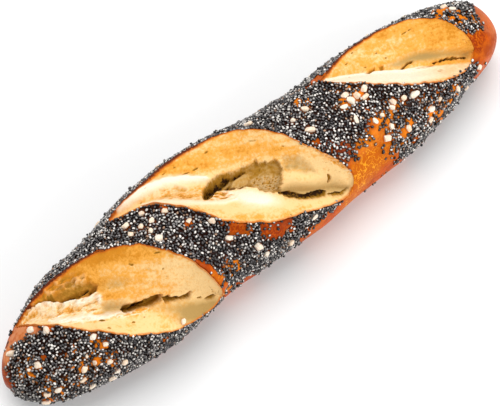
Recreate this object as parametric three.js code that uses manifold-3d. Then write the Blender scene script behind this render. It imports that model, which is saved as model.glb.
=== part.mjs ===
// A baked pretzel bread stick: one loaf of browned dough with three slanting
// gashes that opened in the oven. Millimetres, +Z up. X runs along the stick
// from its broad end (-X) to its slim end (+X), and the gashes are on top.
// The origin is the middle of the flat underside that the stick was baked on.

import * as THREE from 'three';
import { mergeVertices } from 'three/addons/utils/BufferGeometryUtils.js';
import Module from 'manifold-3d';

const wasm = await Module();
wasm.setup();
const { clamp, lerp, smoothstep } = THREE.MathUtils;

// Driving dimensions of the loaf.
const length = 205;
const broadHalfWidth = 23.5;
const slimHalfWidth = 20.9;
const height = 37;
const beltHeight = 15.5;      // height of the widest line, above the base
const noseDrop = 4;           // how much lower the two noses sit
const baseSink = 2;           // what the oven tray flattened off the round underside
const slimmingPower = 0.8;    // how much of the slimming the height follows

// Where the broad part narrows, along X.
const narrowingStart = -8;
const narrowingEnd = 33;

// The rounded ends: where each starts along X, and how blunt it is.
const broadEnd = { start: -29.5, bluntness: 2.12 };
const slimEnd = { start: 7, bluntness: 2.9 };

// The stick swings sideways at the middle gash, and leans a little overall.
const sway = { offset: 3.4, at: -21, reach: 24 };
const lean = -1;

// Fullness of the section: 2 is a true ellipse, more is squarer.
const topFullness = 2;
const baseFullness = 2.8;

// Hand-shaped dough is never quite even.
const lumps = [
  { height: 0.35, along: 0.085, around: 2, phase: 0.6 },
  { height: 0.25, along: 0.17, around: 3, phase: 2.1 },
  { height: 0.15, along: 0.31, around: 5, phase: 4.0 },
];

// The skin is measured in two directions: x along the stick, and girth around
// it, from the top line, positive towards +Y. Girth is an angle times this.
const girthPerRadian = 22;

// Each gash runs from one tip to the other. Its two rims bulge away from the
// line between the tips: bulge is the most, and the two powers say how fast
// the rim leaves the first tip and comes back to the second. A ripple of one
// wave, and one of a wave and a half, bend a rim further. The valley is where
// the floor is deepest, as a share of the way from lower to upper rim.
const gashes = [
  {
    from: { x: -88.95, girth: 22.5 },
    to: { x: -31.9, girth: -34.7 },
    upper: { bulge: 15.3, leave: 1.18, arrive: 0.94 },
    lower: { bulge: 12.15, leave: 0.73, arrive: 0.73 },
    depth: 7.5,
    valley: 0.42,
  },
  {
    from: { x: -45.2, girth: 19 },
    to: { x: 23.5, girth: -28.55 },
    upper: { bulge: 21.45, leave: 0.9, arrive: 0.61, ripple: [0.7, -2.65] },
    lower: { bulge: 7.6, leave: 0.37, arrive: 0.25, ripple: [1.2, 2.5] },
    depth: 9,
    valley: 0.34,
  },
  {
    from: { x: 38.65, girth: 13.85 },
    to: { x: 86.3, girth: -16.3 },
    upper: { bulge: 19.35, leave: 0.93, arrive: 0.81 },
    lower: { bulge: 9.35, leave: 0.54, arrive: 0.25 },
    depth: 7,
    valley: 0.32,
  },
];
const upperFacePower = 1.6;   // how the tall face curves up to the upper rim
const lowerFacePower = 1.3;   // the same for the short face below
const tipShallowing = 0.45;   // how soon a gash grows deep behind its tips
const rimLift = 0.9;          // how far the torn crust stands up at a rim
const rimReach = 4.5;         // how far from the rim the crust starts to rise
const lidHeight = 6;          // how far the cut reaches above the skin
const lidEdge = 0.4;          // the same at its very edge, so that it cuts clean

// Facets of the loaf and of each cut.
const loafFacets = { along: 66, around: 52 };
const cutFacets = { along: 30, around: 22 };
const endCrowding = 0.28;     // how much closer the rings lie at the ends

// ---- The plain loaf ----

function roundedEnd(past, reach, bluntness) {
  const share = clamp(past / reach, 0, 1);
  return Math.pow(1 - Math.pow(share, bluntness), 1 / bluntness);
}

// Size of the section at x, as a share of the full section.
function sectionShare(x) {
  const half = length / 2;
  const broad = roundedEnd(broadEnd.start - x, half + broadEnd.start, broadEnd.bluntness);
  const slim = roundedEnd(x - slimEnd.start, half - slimEnd.start, slimEnd.bluntness);
  return broad * slim;
}

function fullHalfWidth(x) {
  return lerp(broadHalfWidth, slimHalfWidth, smoothstep(x, narrowingStart, narrowingEnd));
}

function centreLine(x) {
  const swing = (x - sway.at) / sway.reach;
  return sway.offset * Math.exp(-swing * swing) + lean * x / (length / 2);
}

// One section: its centre, its half width, and its reach up and down.
function section(x) {
  const share = sectionShare(x);
  const halfWidth = fullHalfWidth(x);
  const fullHeight = height * Math.pow(halfWidth / broadHalfWidth, slimmingPower);
  return {
    centre: new THREE.Vector2(centreLine(x), beltHeight - noseDrop * (1 - share)),
    halfWidth: halfWidth * share,
    up: (fullHeight - beltHeight) * share,
    down: (beltHeight + baseSink) * share,
  };
}

// A power of a sine or cosine that keeps its sign.
function signedPower(value, power) {
  return Math.sign(value) * Math.pow(Math.abs(value), power);
}

// The point at x and girth, standing off the plain loaf by relief.
function pointAt(x, girth, relief) {
  const here = section(x);
  const sine = Math.sin(girth / girthPerRadian);
  const cosine = Math.cos(girth / girthPerRadian);
  const fullness = cosine > 0 ? topFullness : baseFullness;
  const rise = cosine > 0 ? here.up : here.down;
  const point = new THREE.Vector2(
    here.halfWidth * signedPower(sine, 2 / fullness),
    rise * signedPower(cosine, 2 / fullness),
  );
  const outward = new THREE.Vector2(sine * here.up, cosine * here.halfWidth).normalize();
  point.addScaledVector(outward, relief).add(here.centre);
  return new THREE.Vector3(x, point.x, point.y);
}

// ---- The gashes ----

// A curve over 0..1 that is 0 at both ends and 1 at its peak.
function rimCurve(share, leave, arrive) {
  const peak = leave / (leave + arrive);
  const top = Math.pow(peak, leave) * Math.pow(1 - peak, arrive);
  return Math.pow(share, leave) * Math.pow(1 - share, arrive) / top;
}

function rippleAt(share, [oneWave, waveAndHalf] = [0, 0]) {
  return oneWave * Math.sin(2 * Math.PI * share) + waveAndHalf * Math.sin(3 * Math.PI * share);
}

function upperRim(gash, share) {
  const { bulge, leave, arrive, ripple } = gash.upper;
  return bulge * rimCurve(share, leave, arrive) + rippleAt(share, ripple);
}

function lowerRim(gash, share) {
  const { bulge, leave, arrive, ripple } = gash.lower;
  return -bulge * rimCurve(share, leave, arrive) + rippleAt(share, ripple);
}

// 0 at the tips of a gash, and 1 at its middle.
function fromTips(share) {
  return Math.pow(Math.max(Math.sin(Math.PI * share), 0), tipShallowing);
}

// The line between a gash's tips, on the unrolled skin.
function tipLine(gash) {
  const line = new THREE.Vector2(gash.to.x - gash.from.x, gash.to.girth - gash.from.girth);
  const reach = line.length();
  return { reach, along: line.divideScalar(reach) };
}

// The crust stands up around a gash, where it tore and curled.
function rimSwell(x, girth, gash) {
  const { reach, along } = tipLine(gash);
  const spot = new THREE.Vector2(x - gash.from.x, girth - gash.from.girth);
  const run = spot.dot(along);
  const share = clamp(run / reach, 0, 1);
  const across = along.x * spot.y - along.y * spot.x;
  const beyondRim = Math.max(across - upperRim(gash, share), lowerRim(gash, share) - across, 0);
  const beyondTip = Math.max(-run, run - reach, 0);
  const outside = Math.hypot(beyondRim, beyondTip);
  return rimLift * fromTips(share) * (1 - smoothstep(outside, 0, rimReach));
}

// Depth of a gash between its rims, as a share of its full depth.
function faceDepth(place, valley) {
  if (place > valley) {
    return 1 - Math.pow((place - valley) / (1 - valley), upperFacePower);
  }
  return 1 - Math.pow((valley - place) / valley, lowerFacePower);
}

// ---- Closed bodies ----

function unevenness(x, girth) {
  const angle = girth / girthPerRadian;
  let sum = 0;
  for (const { height: rise, along, around, phase } of lumps) {
    sum += rise * Math.sin(along * x + phase) * Math.cos(around * angle + phase);
  }
  return sum * sectionShare(x);
}

function loafPoint(share, angle) {
  const place = 2 * share - 1;
  const x = (length / 2) * place * (1 + endCrowding * (1 - place * place));
  const girth = girthPerRadian * angle;
  const swell = gashes.reduce((sum, gash) => sum + rimSwell(x, girth, gash), 0);
  const point = pointAt(x, girth, unevenness(x, girth) + swell);
  point.z = Math.max(point.z, 0);
  return point;
}

// A cut's rings run over its floor from rim to rim and back above the skin.
// They lie closer at its tips, where the rims are most bent.
function cutPoint(gash, ringShare, angle) {
  const { reach, along } = tipLine(gash);
  const share = (1 - Math.cos(Math.PI * ringShare)) / 2;
  const place = (1 + Math.sin(angle)) / 2;
  const across = lerp(lowerRim(gash, share), upperRim(gash, share), place);
  const x = gash.from.x + along.x * share * reach - along.y * across;
  const girth = gash.from.girth + along.y * share * reach + along.x * across;
  const edge = unevenness(x, girth) + (rimLift + lidEdge) * fromTips(share);
  const overSkin = Math.cos(angle) > 0;
  const relief = overSkin
    ? lidHeight * Math.cos(angle) * fromTips(share)
    : -(gash.depth + rimLift + lidEdge) * faceDepth(place, gash.valley) * fromTips(share);
  return pointAt(x, girth, edge + relief);
}

// A ball whose points are moved: share runs from pole to pole, angle around.
function closedBody({ along, around }, pointOf) {
  const geometry = new THREE.SphereGeometry(1, around, along);
  const points = geometry.getAttribute('position');
  const ball = new THREE.Vector3();
  for (let index = 0; index < points.count; index += 1) {
    ball.fromBufferAttribute(points, index);
    const share = Math.acos(clamp(-ball.y, -1, 1)) / Math.PI;
    const moved = pointOf(share, Math.atan2(ball.z, ball.x));
    points.setXYZ(index, moved.x, moved.y, moved.z);
  }
  geometry.deleteAttribute('normal');
  geometry.deleteAttribute('uv');
  return mergeVertices(geometry, 1e-3);
}

function toSolid(geometry) {
  const vertProperties = Float32Array.from(geometry.getAttribute('position').array);
  const triVerts = Uint32Array.from(geometry.getIndex().array);
  return new wasm.Manifold(new wasm.Mesh({ numProp: 3, vertProperties, triVerts }));
}

function toGeometry(solid) {
  const mesh = solid.getMesh();
  const geometry = new THREE.BufferGeometry();
  geometry.setAttribute('position', new THREE.BufferAttribute(mesh.vertProperties, 3));
  geometry.setIndex(new THREE.BufferAttribute(mesh.triVerts, 1));
  return geometry;
}

function stickGeometry() {
  let solid = toSolid(closedBody(loafFacets, loafPoint));
  for (const gash of gashes) {
    const cut = closedBody(cutFacets, (share, angle) => cutPoint(gash, share, angle));
    solid = solid.subtract(toSolid(cut));
  }
  const geometry = toGeometry(solid);
  geometry.computeBoundingBox();
  const middle = geometry.boundingBox.getCenter(new THREE.Vector3());
  geometry.translate(-middle.x, -middle.y, -geometry.boundingBox.min.z);
  geometry.computeVertexNormals();
  return geometry;
}

// ---- The model ----

const crust = new THREE.MeshStandardMaterial({ color: 0xb5651d, roughness: 0.45, metalness: 0 });
const stick = new THREE.Mesh(stickGeometry(), crust);
stick.name = 'bread_stick';

const group = new THREE.Group();
group.add(stick);
export default group;
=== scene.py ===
import math

import bmesh
import bpy
import numpy as np
from mathutils import Matrix, Vector
from mathutils.bvhtree import BVHTree
from mathutils.kdtree import KDTree


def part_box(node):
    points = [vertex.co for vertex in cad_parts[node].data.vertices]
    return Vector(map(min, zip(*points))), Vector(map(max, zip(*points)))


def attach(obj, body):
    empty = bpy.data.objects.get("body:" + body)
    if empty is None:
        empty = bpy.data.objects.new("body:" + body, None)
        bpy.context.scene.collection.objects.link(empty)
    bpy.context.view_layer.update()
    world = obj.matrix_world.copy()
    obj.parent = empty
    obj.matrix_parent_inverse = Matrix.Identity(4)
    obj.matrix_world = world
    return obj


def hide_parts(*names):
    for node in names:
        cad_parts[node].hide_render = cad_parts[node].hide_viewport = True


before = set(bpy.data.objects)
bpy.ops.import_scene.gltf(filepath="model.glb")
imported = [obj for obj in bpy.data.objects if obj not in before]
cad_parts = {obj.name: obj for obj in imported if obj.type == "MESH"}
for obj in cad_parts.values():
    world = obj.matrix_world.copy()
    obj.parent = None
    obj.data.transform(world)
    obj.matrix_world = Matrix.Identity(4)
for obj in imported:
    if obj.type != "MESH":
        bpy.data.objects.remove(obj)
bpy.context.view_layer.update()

# A baked pretzel bread stick: browned crust, three opened gashes with pale
# crumb, poppy seeds and coarse salt. Shapes are worked out in millimetres in
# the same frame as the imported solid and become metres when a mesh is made.

MM = 0.001
NODE = "bread_stick"
BODY = "root"
box_low, box_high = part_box(NODE)

# ------------------------------------------------------------------ the loaf

LENGTH = 205
BROAD_HALF_WIDTH = 23.5
SLIM_HALF_WIDTH = 20.9
HEIGHT = 37
BELT_HEIGHT = 15.5
NOSE_DROP = 4
BASE_SINK = 2
SLIMMING_POWER = 0.8
NARROWING = (-8, 33)
BROAD_END = dict(start=-29.5, bluntness=2.12)
SLIM_END = dict(start=7, bluntness=2.9)
SWAY = dict(offset=3.4, at=-21, reach=24)
LEAN = -1
TOP_FULLNESS = 2
BASE_FULLNESS = 2.8
LUMPS = (
    dict(rise=0.35, along=0.085, around=2, phase=0.6),
    dict(rise=0.25, along=0.17, around=3, phase=2.1),
    dict(rise=0.15, along=0.31, around=5, phase=4.0),
)
GIRTH_PER_RADIAN = 22
# where the loaf is drawn in (or, below 0, swollen): x and girth, reach and depth in mm
PINCHES = (
    dict(at=(-27, -39), reach=7, depth=1.8),
    dict(at=(35, 24), reach=8, depth=1.6),
    dict(at=(84, -38), reach=9, depth=1.5),
    dict(at=(-72, 29), reach=11, depth=-1.5),
)


def smooth(low, high, value):
    """0 below low, 1 above high, and a smooth step between them."""
    share = np.clip((value - low) / (high - low), 0, 1)
    return share * share * (3 - 2 * share)


def mix(first, second, share):
    return first + (second - first) * share


def signed_power(value, power):
    return np.sign(value) * np.abs(value) ** power


def rounded_end(past, reach, bluntness):
    share = np.clip(past / reach, 0, 1)
    return (1 - share ** bluntness) ** (1 / bluntness)


def section_share(x):
    half = LENGTH / 2
    broad = rounded_end(BROAD_END["start"] - x, half + BROAD_END["start"], BROAD_END["bluntness"])
    slim = rounded_end(x - SLIM_END["start"], half - SLIM_END["start"], SLIM_END["bluntness"])
    return broad * slim


def point_at(x, girth, relief):
    """The point at x and girth, standing off the plain loaf by relief."""
    share = section_share(x)
    half_width = mix(BROAD_HALF_WIDTH, SLIM_HALF_WIDTH, smooth(*NARROWING, x))
    full_height = HEIGHT * (half_width / BROAD_HALF_WIDTH) ** SLIMMING_POWER
    up = (full_height - BELT_HEIGHT) * share
    down = (BELT_HEIGHT + BASE_SINK) * share
    across = half_width * share
    sine = np.sin(girth / GIRTH_PER_RADIAN)
    cosine = np.cos(girth / GIRTH_PER_RADIAN)
    top = cosine > 0
    fullness = np.where(top, TOP_FULLNESS, BASE_FULLNESS)
    y = across * signed_power(sine, 2 / fullness)
    z = np.where(top, up, down) * signed_power(cosine, 2 / fullness)
    out_y, out_z = sine * up, cosine * across
    size = np.hypot(out_y, out_z) + 1e-9
    swing = (x - SWAY["at"]) / SWAY["reach"]
    centre_y = SWAY["offset"] * np.exp(-swing * swing) + LEAN * x / (LENGTH / 2)
    centre_z = BELT_HEIGHT - NOSE_DROP * (1 - share)
    return np.stack([
        x + 0 * y,
        y + relief * out_y / size + centre_y,
        z + relief * out_z / size + centre_z,
    ], -1)


def unevenness(x, girth):
    """Hand-shaped dough is never quite even."""
    angle = girth / GIRTH_PER_RADIAN
    total = 0
    for lump in LUMPS:
        along = np.sin(lump["along"] * x + lump["phase"])
        around = np.cos(lump["around"] * angle + lump["phase"])
        total = total + lump["rise"] * along * around
    total = total * section_share(x)
    for pinch in PINCHES:
        far = np.hypot(x - pinch["at"][0], girth - pinch["at"][1]) / pinch["reach"]
        total = total - pinch["depth"] * np.exp(-far * far)
    return total


# --------------------------------------------------------------------- noise

LATTICE = np.random.default_rng(7).random(1 << 14)
PRIMES = (73856093, 19349663, 83492791)
SEED_STRIDE = 17.31         # cells between the noises of neighbouring seeds


def value_noise(points, size, seed):
    """Smooth noise from 0 to 1 over points (..., 3), with cells of the given size."""
    grid = points / size + seed * SEED_STRIDE
    cell = np.floor(grid).astype(np.int64)
    part = grid - cell
    part = part * part * (3 - 2 * part)
    total = 0
    for corner in np.ndindex(2, 2, 2):
        key = seed * 7919
        weight = 1
        for axis in range(3):
            key = key ^ ((cell[..., axis] + corner[axis]) * PRIMES[axis])
            side = part[..., axis] if corner[axis] else 1 - part[..., axis]
            weight = weight * side
        total = total + weight * LATTICE[key & (len(LATTICE) - 1)]
    return total


def layered_noise(points, size, layers, seed):
    """Several layers of noise, each half the size and height of the one before."""
    total, height = 0, 0
    for layer in range(layers):
        part = 0.5 ** layer
        total = total + part * value_noise(points, size * part, seed + layer)
        height += part
    return total / height


def ridged_noise(points, size, layers, seed):
    """Noise with sharp crests, from 0 to 1."""
    total, height = 0, 0
    for layer in range(layers):
        part = 0.6 ** layer
        crest = 1 - np.abs(2 * value_noise(points, size * 0.5 ** layer, seed + layer) - 1)
        total = total + part * crest ** 2
        height += part
    return total / height


# ---------------------------------------------------------------- the gashes

GASHES = dict(
    near=dict(
        start=(-88.95, 22.5), end=(-31.9, -34.7),
        upper=(15.3, 1.18, 0.94), lower=(12.15, 0.73, 0.73),
        upper_ripple=(0, 0), lower_ripple=(0, 0),
        depth=7.5,
    ),
    middle=dict(
        start=(-45.2, 19), end=(23.5, -28.55),
        upper=(21.45, 0.9, 0.61), lower=(7.6, 0.37, 0.25),
        upper_ripple=(0.7, -2.65), lower_ripple=(1.2, 2.5),
        depth=9,
    ),
    far=dict(
        start=(38.65, 13.85), end=(86.3, -16.3),
        upper=(19.35, 0.93, 0.81), lower=(9.35, 0.54, 0.25),
        upper_ripple=(0, 0), lower_ripple=(0, 0),
        depth=7,
    ),
)
TIP_SHALLOWING = 0.45
RIM_LIFT = 0.9
RIM_REACH = 4.5
DEPTH_BY_WIDTH = 0.75       # how closely a gash's depth follows its width
RIM_WOBBLE = 0.22           # mm, how unevenly the rims run
WOBBLE_WAVES = ((31, 1.0), (67, 0.6), (113, 0.5))


def rim_curve(share, leave, arrive):
    peak = leave / (leave + arrive)
    top = peak ** leave * (1 - peak) ** arrive
    return share ** leave * (1 - share) ** arrive / top


def rim_wobble(share, phase):
    wave = sum(height * np.sin(pace * share + pace * phase) for pace, height in WOBBLE_WAVES)
    return RIM_WOBBLE * rim_curve(share, 0.5, 0.5) * wave


def ripple(share, waves):
    one_wave, wave_and_half = waves
    return one_wave * np.sin(2 * np.pi * share) + wave_and_half * np.sin(3 * np.pi * share)


def upper_rim(gash, share):
    bulge, leave, arrive = gash["upper"]
    bent = ripple(share, gash["upper_ripple"])
    return bulge * rim_curve(share, leave, arrive) + bent + rim_wobble(share, bulge)


def lower_rim(gash, share):
    bulge, leave, arrive = gash["lower"]
    bent = ripple(share, gash["lower_ripple"])
    return -bulge * rim_curve(share, leave, arrive) + bent + rim_wobble(share, bulge)


def widest(gash):
    shares = np.linspace(0, 1, 101)
    return (upper_rim(gash, shares) - lower_rim(gash, shares)).max()


def from_tips(share):
    return np.maximum(np.sin(np.pi * share), 0) ** TIP_SHALLOWING


def depth_share(gash, share):
    """How deep a gash is at a share along it: 0 at its tips, 1 where it is widest."""
    width = upper_rim(gash, share) - lower_rim(gash, share)
    return np.clip(width / widest(gash), 0, 1) ** DEPTH_BY_WIDTH


def tip_line(gash):
    line = np.subtract(gash["end"], gash["start"])
    reach = math.hypot(*line)
    return reach, line / reach


def on_gash(gash, x, girth):
    """Where a skin point is in a gash: share along it, mm across it, mm past its tips."""
    reach, along = tip_line(gash)
    dx, dg = x - gash["start"][0], girth - gash["start"][1]
    run = dx * along[0] + dg * along[1]
    across = along[0] * dg - along[1] * dx
    share = np.clip(run / reach, 0, 1)
    past = np.maximum(np.maximum(-run, run - reach), 0)
    return share, across, past


def off_gash(gash, share, across):
    """The skin point (x, girth) at a share along a gash and mm across it."""
    reach, along = tip_line(gash)
    x = gash["start"][0] + along[0] * share * reach - along[1] * across
    girth = gash["start"][1] + along[1] * share * reach + along[0] * across
    return x, girth


def rim_distance(gash, x, girth):
    """mm from the nearest rim of a gash, positive inside it."""
    share, across, past = on_gash(gash, x, girth)
    inside = np.minimum(upper_rim(gash, share) - across, across - lower_rim(gash, share))
    return np.where(inside > 0, np.where(past > 0, -past, inside), -np.hypot(inside, past))


def swell(x, girth):
    """How far the crust stands up beside the gashes, where it tore and curled."""
    total = 0
    for gash in GASHES.values():
        share, across, past = on_gash(gash, x, girth)
        outside = np.maximum(-rim_distance(gash, x, girth), 0)
        total = total + RIM_LIFT * from_tips(share) * (1 - smooth(0, RIM_REACH, outside))
    return total


# -------------------------------------------------------------------- meshes

def bare_mesh(name, points, faces, smooth_faces=True):
    """A piece from points in metres and faces."""
    mesh = bpy.data.meshes.new(name)
    mesh.from_pydata(points, [], faces)
    mesh.polygons.foreach_set("use_smooth", [smooth_faces] * len(mesh.polygons))
    mesh.update()
    piece = bpy.data.objects.new(name, mesh)
    bpy.context.scene.collection.objects.link(piece)
    return piece


def make_mesh(name, points, faces):
    """A piece from points in the loaf's millimetres and faces."""
    return bare_mesh(name, ((points + SHIFT) * MM).tolist(), faces)


def set_attribute(piece, name, values):
    layer = piece.data.attributes.new(name, "FLOAT", "POINT")
    layer.data.foreach_set("value", np.asarray(values, np.float32).ravel())


def loft_faces(rows, columns):
    """Faces of a closed body of rings, whose two tips come after the rings' points."""
    row = np.arange(rows - 1)[:, None] * columns
    column = np.arange(columns)
    after = (column + 1) % columns
    faces = np.stack([row + column, row + columns + column, row + columns + after, row + after], -1)
    faces = faces.reshape(-1, 4).tolist()
    last = (rows - 1) * columns
    first_tip, last_tip = rows * columns, rows * columns + 1
    faces += [(first_tip, a, b) for a, b in zip(column.tolist(), after.tolist())]
    faces += [(last_tip, last + b, last + a) for a, b in zip(column.tolist(), after.tolist())]
    return faces


# --------------------------------------------------------------------- crust

CRUST_ROWS = 420
CRUST_COLUMNS = 226
END_CROWDING = 0.12
TOP_CROWDING = 0.3          # how much closer the crust's points lie on top
TUCK_START = -0.45          # mm inside a rim where the crust starts to dive under the crumb
TUCK_END = 0.6
TRENCH = 8                  # mm, how far below a gash's depth the crust dives
WRINKLE = 0.12              # mm
WRINKLE_SIZE = 2.6          # mm


def crust_relief(x, girth):
    relief = unevenness(x, girth) + swell(x, girth)
    for gash in GASHES.values():
        share, across, past = on_gash(gash, x, girth)
        tuck = smooth(TUCK_START, TUCK_END, rim_distance(gash, x, girth))
        relief = relief - tuck * (gash["depth"] + TRENCH) * depth_share(gash, share)
    return relief


TIP_X = (-LENGTH / 2, LENGTH / 2)


def make_crust_points():
    place = 2 * np.linspace(0, 1, CRUST_ROWS + 2) - 1
    x = LENGTH / 2 * place * (1 + END_CROWDING * (1 - place * place))
    turn = np.linspace(-np.pi, np.pi, CRUST_COLUMNS, endpoint=False)
    girth = GIRTH_PER_RADIAN * (turn - TOP_CROWDING * np.sin(turn))
    x_grid, girth_grid = np.meshgrid(x[1:-1], girth, indexing="ij")
    rings = point_at(x_grid, girth_grid, crust_relief(x_grid, girth_grid))
    wrinkle = WRINKLE * (layered_noise(rings, WRINKLE_SIZE, 3, seed=3) - 0.5)
    rings = point_at(x_grid, girth_grid, crust_relief(x_grid, girth_grid) + wrinkle)
    rings[..., 2] = np.maximum(rings[..., 2], 0)
    tips = point_at(np.array(TIP_X), np.zeros(2), np.zeros(2))
    return rings, tips, x_grid, girth_grid


crust_rings, crust_tips, crust_x, crust_girth = make_crust_points()
crust_middle_y = (crust_rings[..., 1].min() + crust_rings[..., 1].max()) / 2
SHIFT = np.array([0, (box_low.y + box_high.y) / 2 / MM - crust_middle_y, 0])
crust_points = np.concatenate([crust_rings.reshape(-1, 3), crust_tips])
crust_faces = loft_faces(CRUST_ROWS, CRUST_COLUMNS)
crust = make_mesh("crust", crust_points, crust_faces)

# -------------------------------------------------------------------- camera

AZIMUTH = math.radians(41.27)
ELEVATION = math.radians(65)
DISTANCE = 0.75
FOCUS_PIXELS = 2311.7
IMAGE_WIDTH, IMAGE_HEIGHT = 500, 406
SENSOR = 36.0
CLIP = (0.01, 20)           # m
TARGET = Vector((-4.16, -1.89 + SHIFT[1], 17)) * MM
BACK = Vector((
    -math.sin(AZIMUTH) * math.cos(ELEVATION),
    -math.cos(AZIMUTH) * math.cos(ELEVATION),
    math.sin(ELEVATION),
))
RIGHT = Vector((math.cos(AZIMUTH), -math.sin(AZIMUTH), 0))
UP = BACK.cross(RIGHT)
EYE = TARGET + BACK * DISTANCE


def make_camera():
    data = bpy.data.cameras.new("camera")
    data.sensor_width = SENSOR
    data.lens = FOCUS_PIXELS * SENSOR / IMAGE_WIDTH
    data.clip_start, data.clip_end = CLIP
    camera = bpy.data.objects.new("camera", data)
    bpy.context.scene.collection.objects.link(camera)
    turn = Matrix((RIGHT, UP, BACK)).transposed()
    camera.matrix_world = Matrix.Translation(EYE) @ turn.to_4x4()
    bpy.context.scene.camera = camera


def on_surface(tree, pixel):
    """Where the sight line through a pixel of the photo meets a surface: point and normal."""
    across, down = pixel[0] - IMAGE_WIDTH / 2, pixel[1] - IMAGE_HEIGHT / 2
    sight = RIGHT * across - UP * down - BACK * FOCUS_PIXELS
    point, normal, _, _ = tree.ray_cast(EYE, sight.normalized())
    return point, normal


def in_picture(points):
    """Which pixel of the photo shows each point of the loaf, whose points are in mm."""
    sight = (points + SHIFT) * MM - np.array(EYE)
    ahead = -(sight @ np.array(BACK))
    across = IMAGE_WIDTH / 2 + FOCUS_PIXELS * (sight @ np.array(RIGHT)) / ahead
    down = IMAGE_HEIGHT / 2 - FOCUS_PIXELS * (sight @ np.array(UP)) / ahead
    return across, down


make_camera()
crust_tree = BVHTree.FromPolygons(((crust_points + SHIFT) * MM).tolist(), crust_faces)

# --------------------------------------------------------------------- crumb

CRUMB_STEP = 0.26
TIP_ROWS = 1.25             # how many more rows the crowding at the tips asks for
BEAD_WIDTH = 0.7
BEAD_COLUMNS = 5
RIM_WIDTH = 0.55            # mm of browned edge on the crumb
WIDE_RIM = 1.5              # the same along the upper rims, towards the broad end
BEAD_RISE = 0.3
BEAD_SINK = 1.2
BEAD_BLEND = 0.9            # mm inside the rims where the bead's rise fades out
TIP_RELIEF = -0.3           # mm, how far the tips lie under the skin
SLAB_COLUMNS = 4
SLAB_LIFT = 1.2             # mm from the crust's trench up to the crumb's underside
CRUMBLE = 0.7               # mm
CRUMBLE_SIZE = 1.0          # mm
PIXELS_PER_MM = 3.08
WOBBLE_FADE = 12            # how quickly the rims' wobble fades inwards
NOISE_STRIDE = 31.7         # mm between the faces in the noise
VALLEY_BLUR = 0.035         # share of a gash's length


def to_line(u, v, stops):
    """Pixels to a line of stops, and the share of the way along it of the nearest point."""
    nearest = np.full(u.shape, np.inf)
    at = np.zeros(u.shape)
    lengths = [math.dist(a, b) for a, b in zip(stops, stops[1:])]
    before = 0
    for (u0, v0), (u1, v1), length in zip(stops, stops[1:], lengths):
        along = np.clip(((u - u0) * (u1 - u0) + (v - v0) * (v1 - v0)) / length ** 2, 0, 1)
        far = np.hypot(u - mix(u0, u1, along), v - mix(v0, v1, along))
        at = np.where(far < nearest, (before + along * length) / sum(lengths), at)
        nearest = np.minimum(nearest, far)
        before += length
    return nearest, at


def in_outline(u, v, stops):
    """True inside a closed outline of stops."""
    inside = np.zeros(u.shape, bool)
    for (u0, v0), (u1, v1) in zip(stops, stops[1:] + stops[:1]):
        if v0 != v1:
            inside ^= ((v0 > v) != (v1 > v)) & (u < u0 + (u1 - u0) * (v - v0) / (v1 - v0))
    return inside


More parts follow.
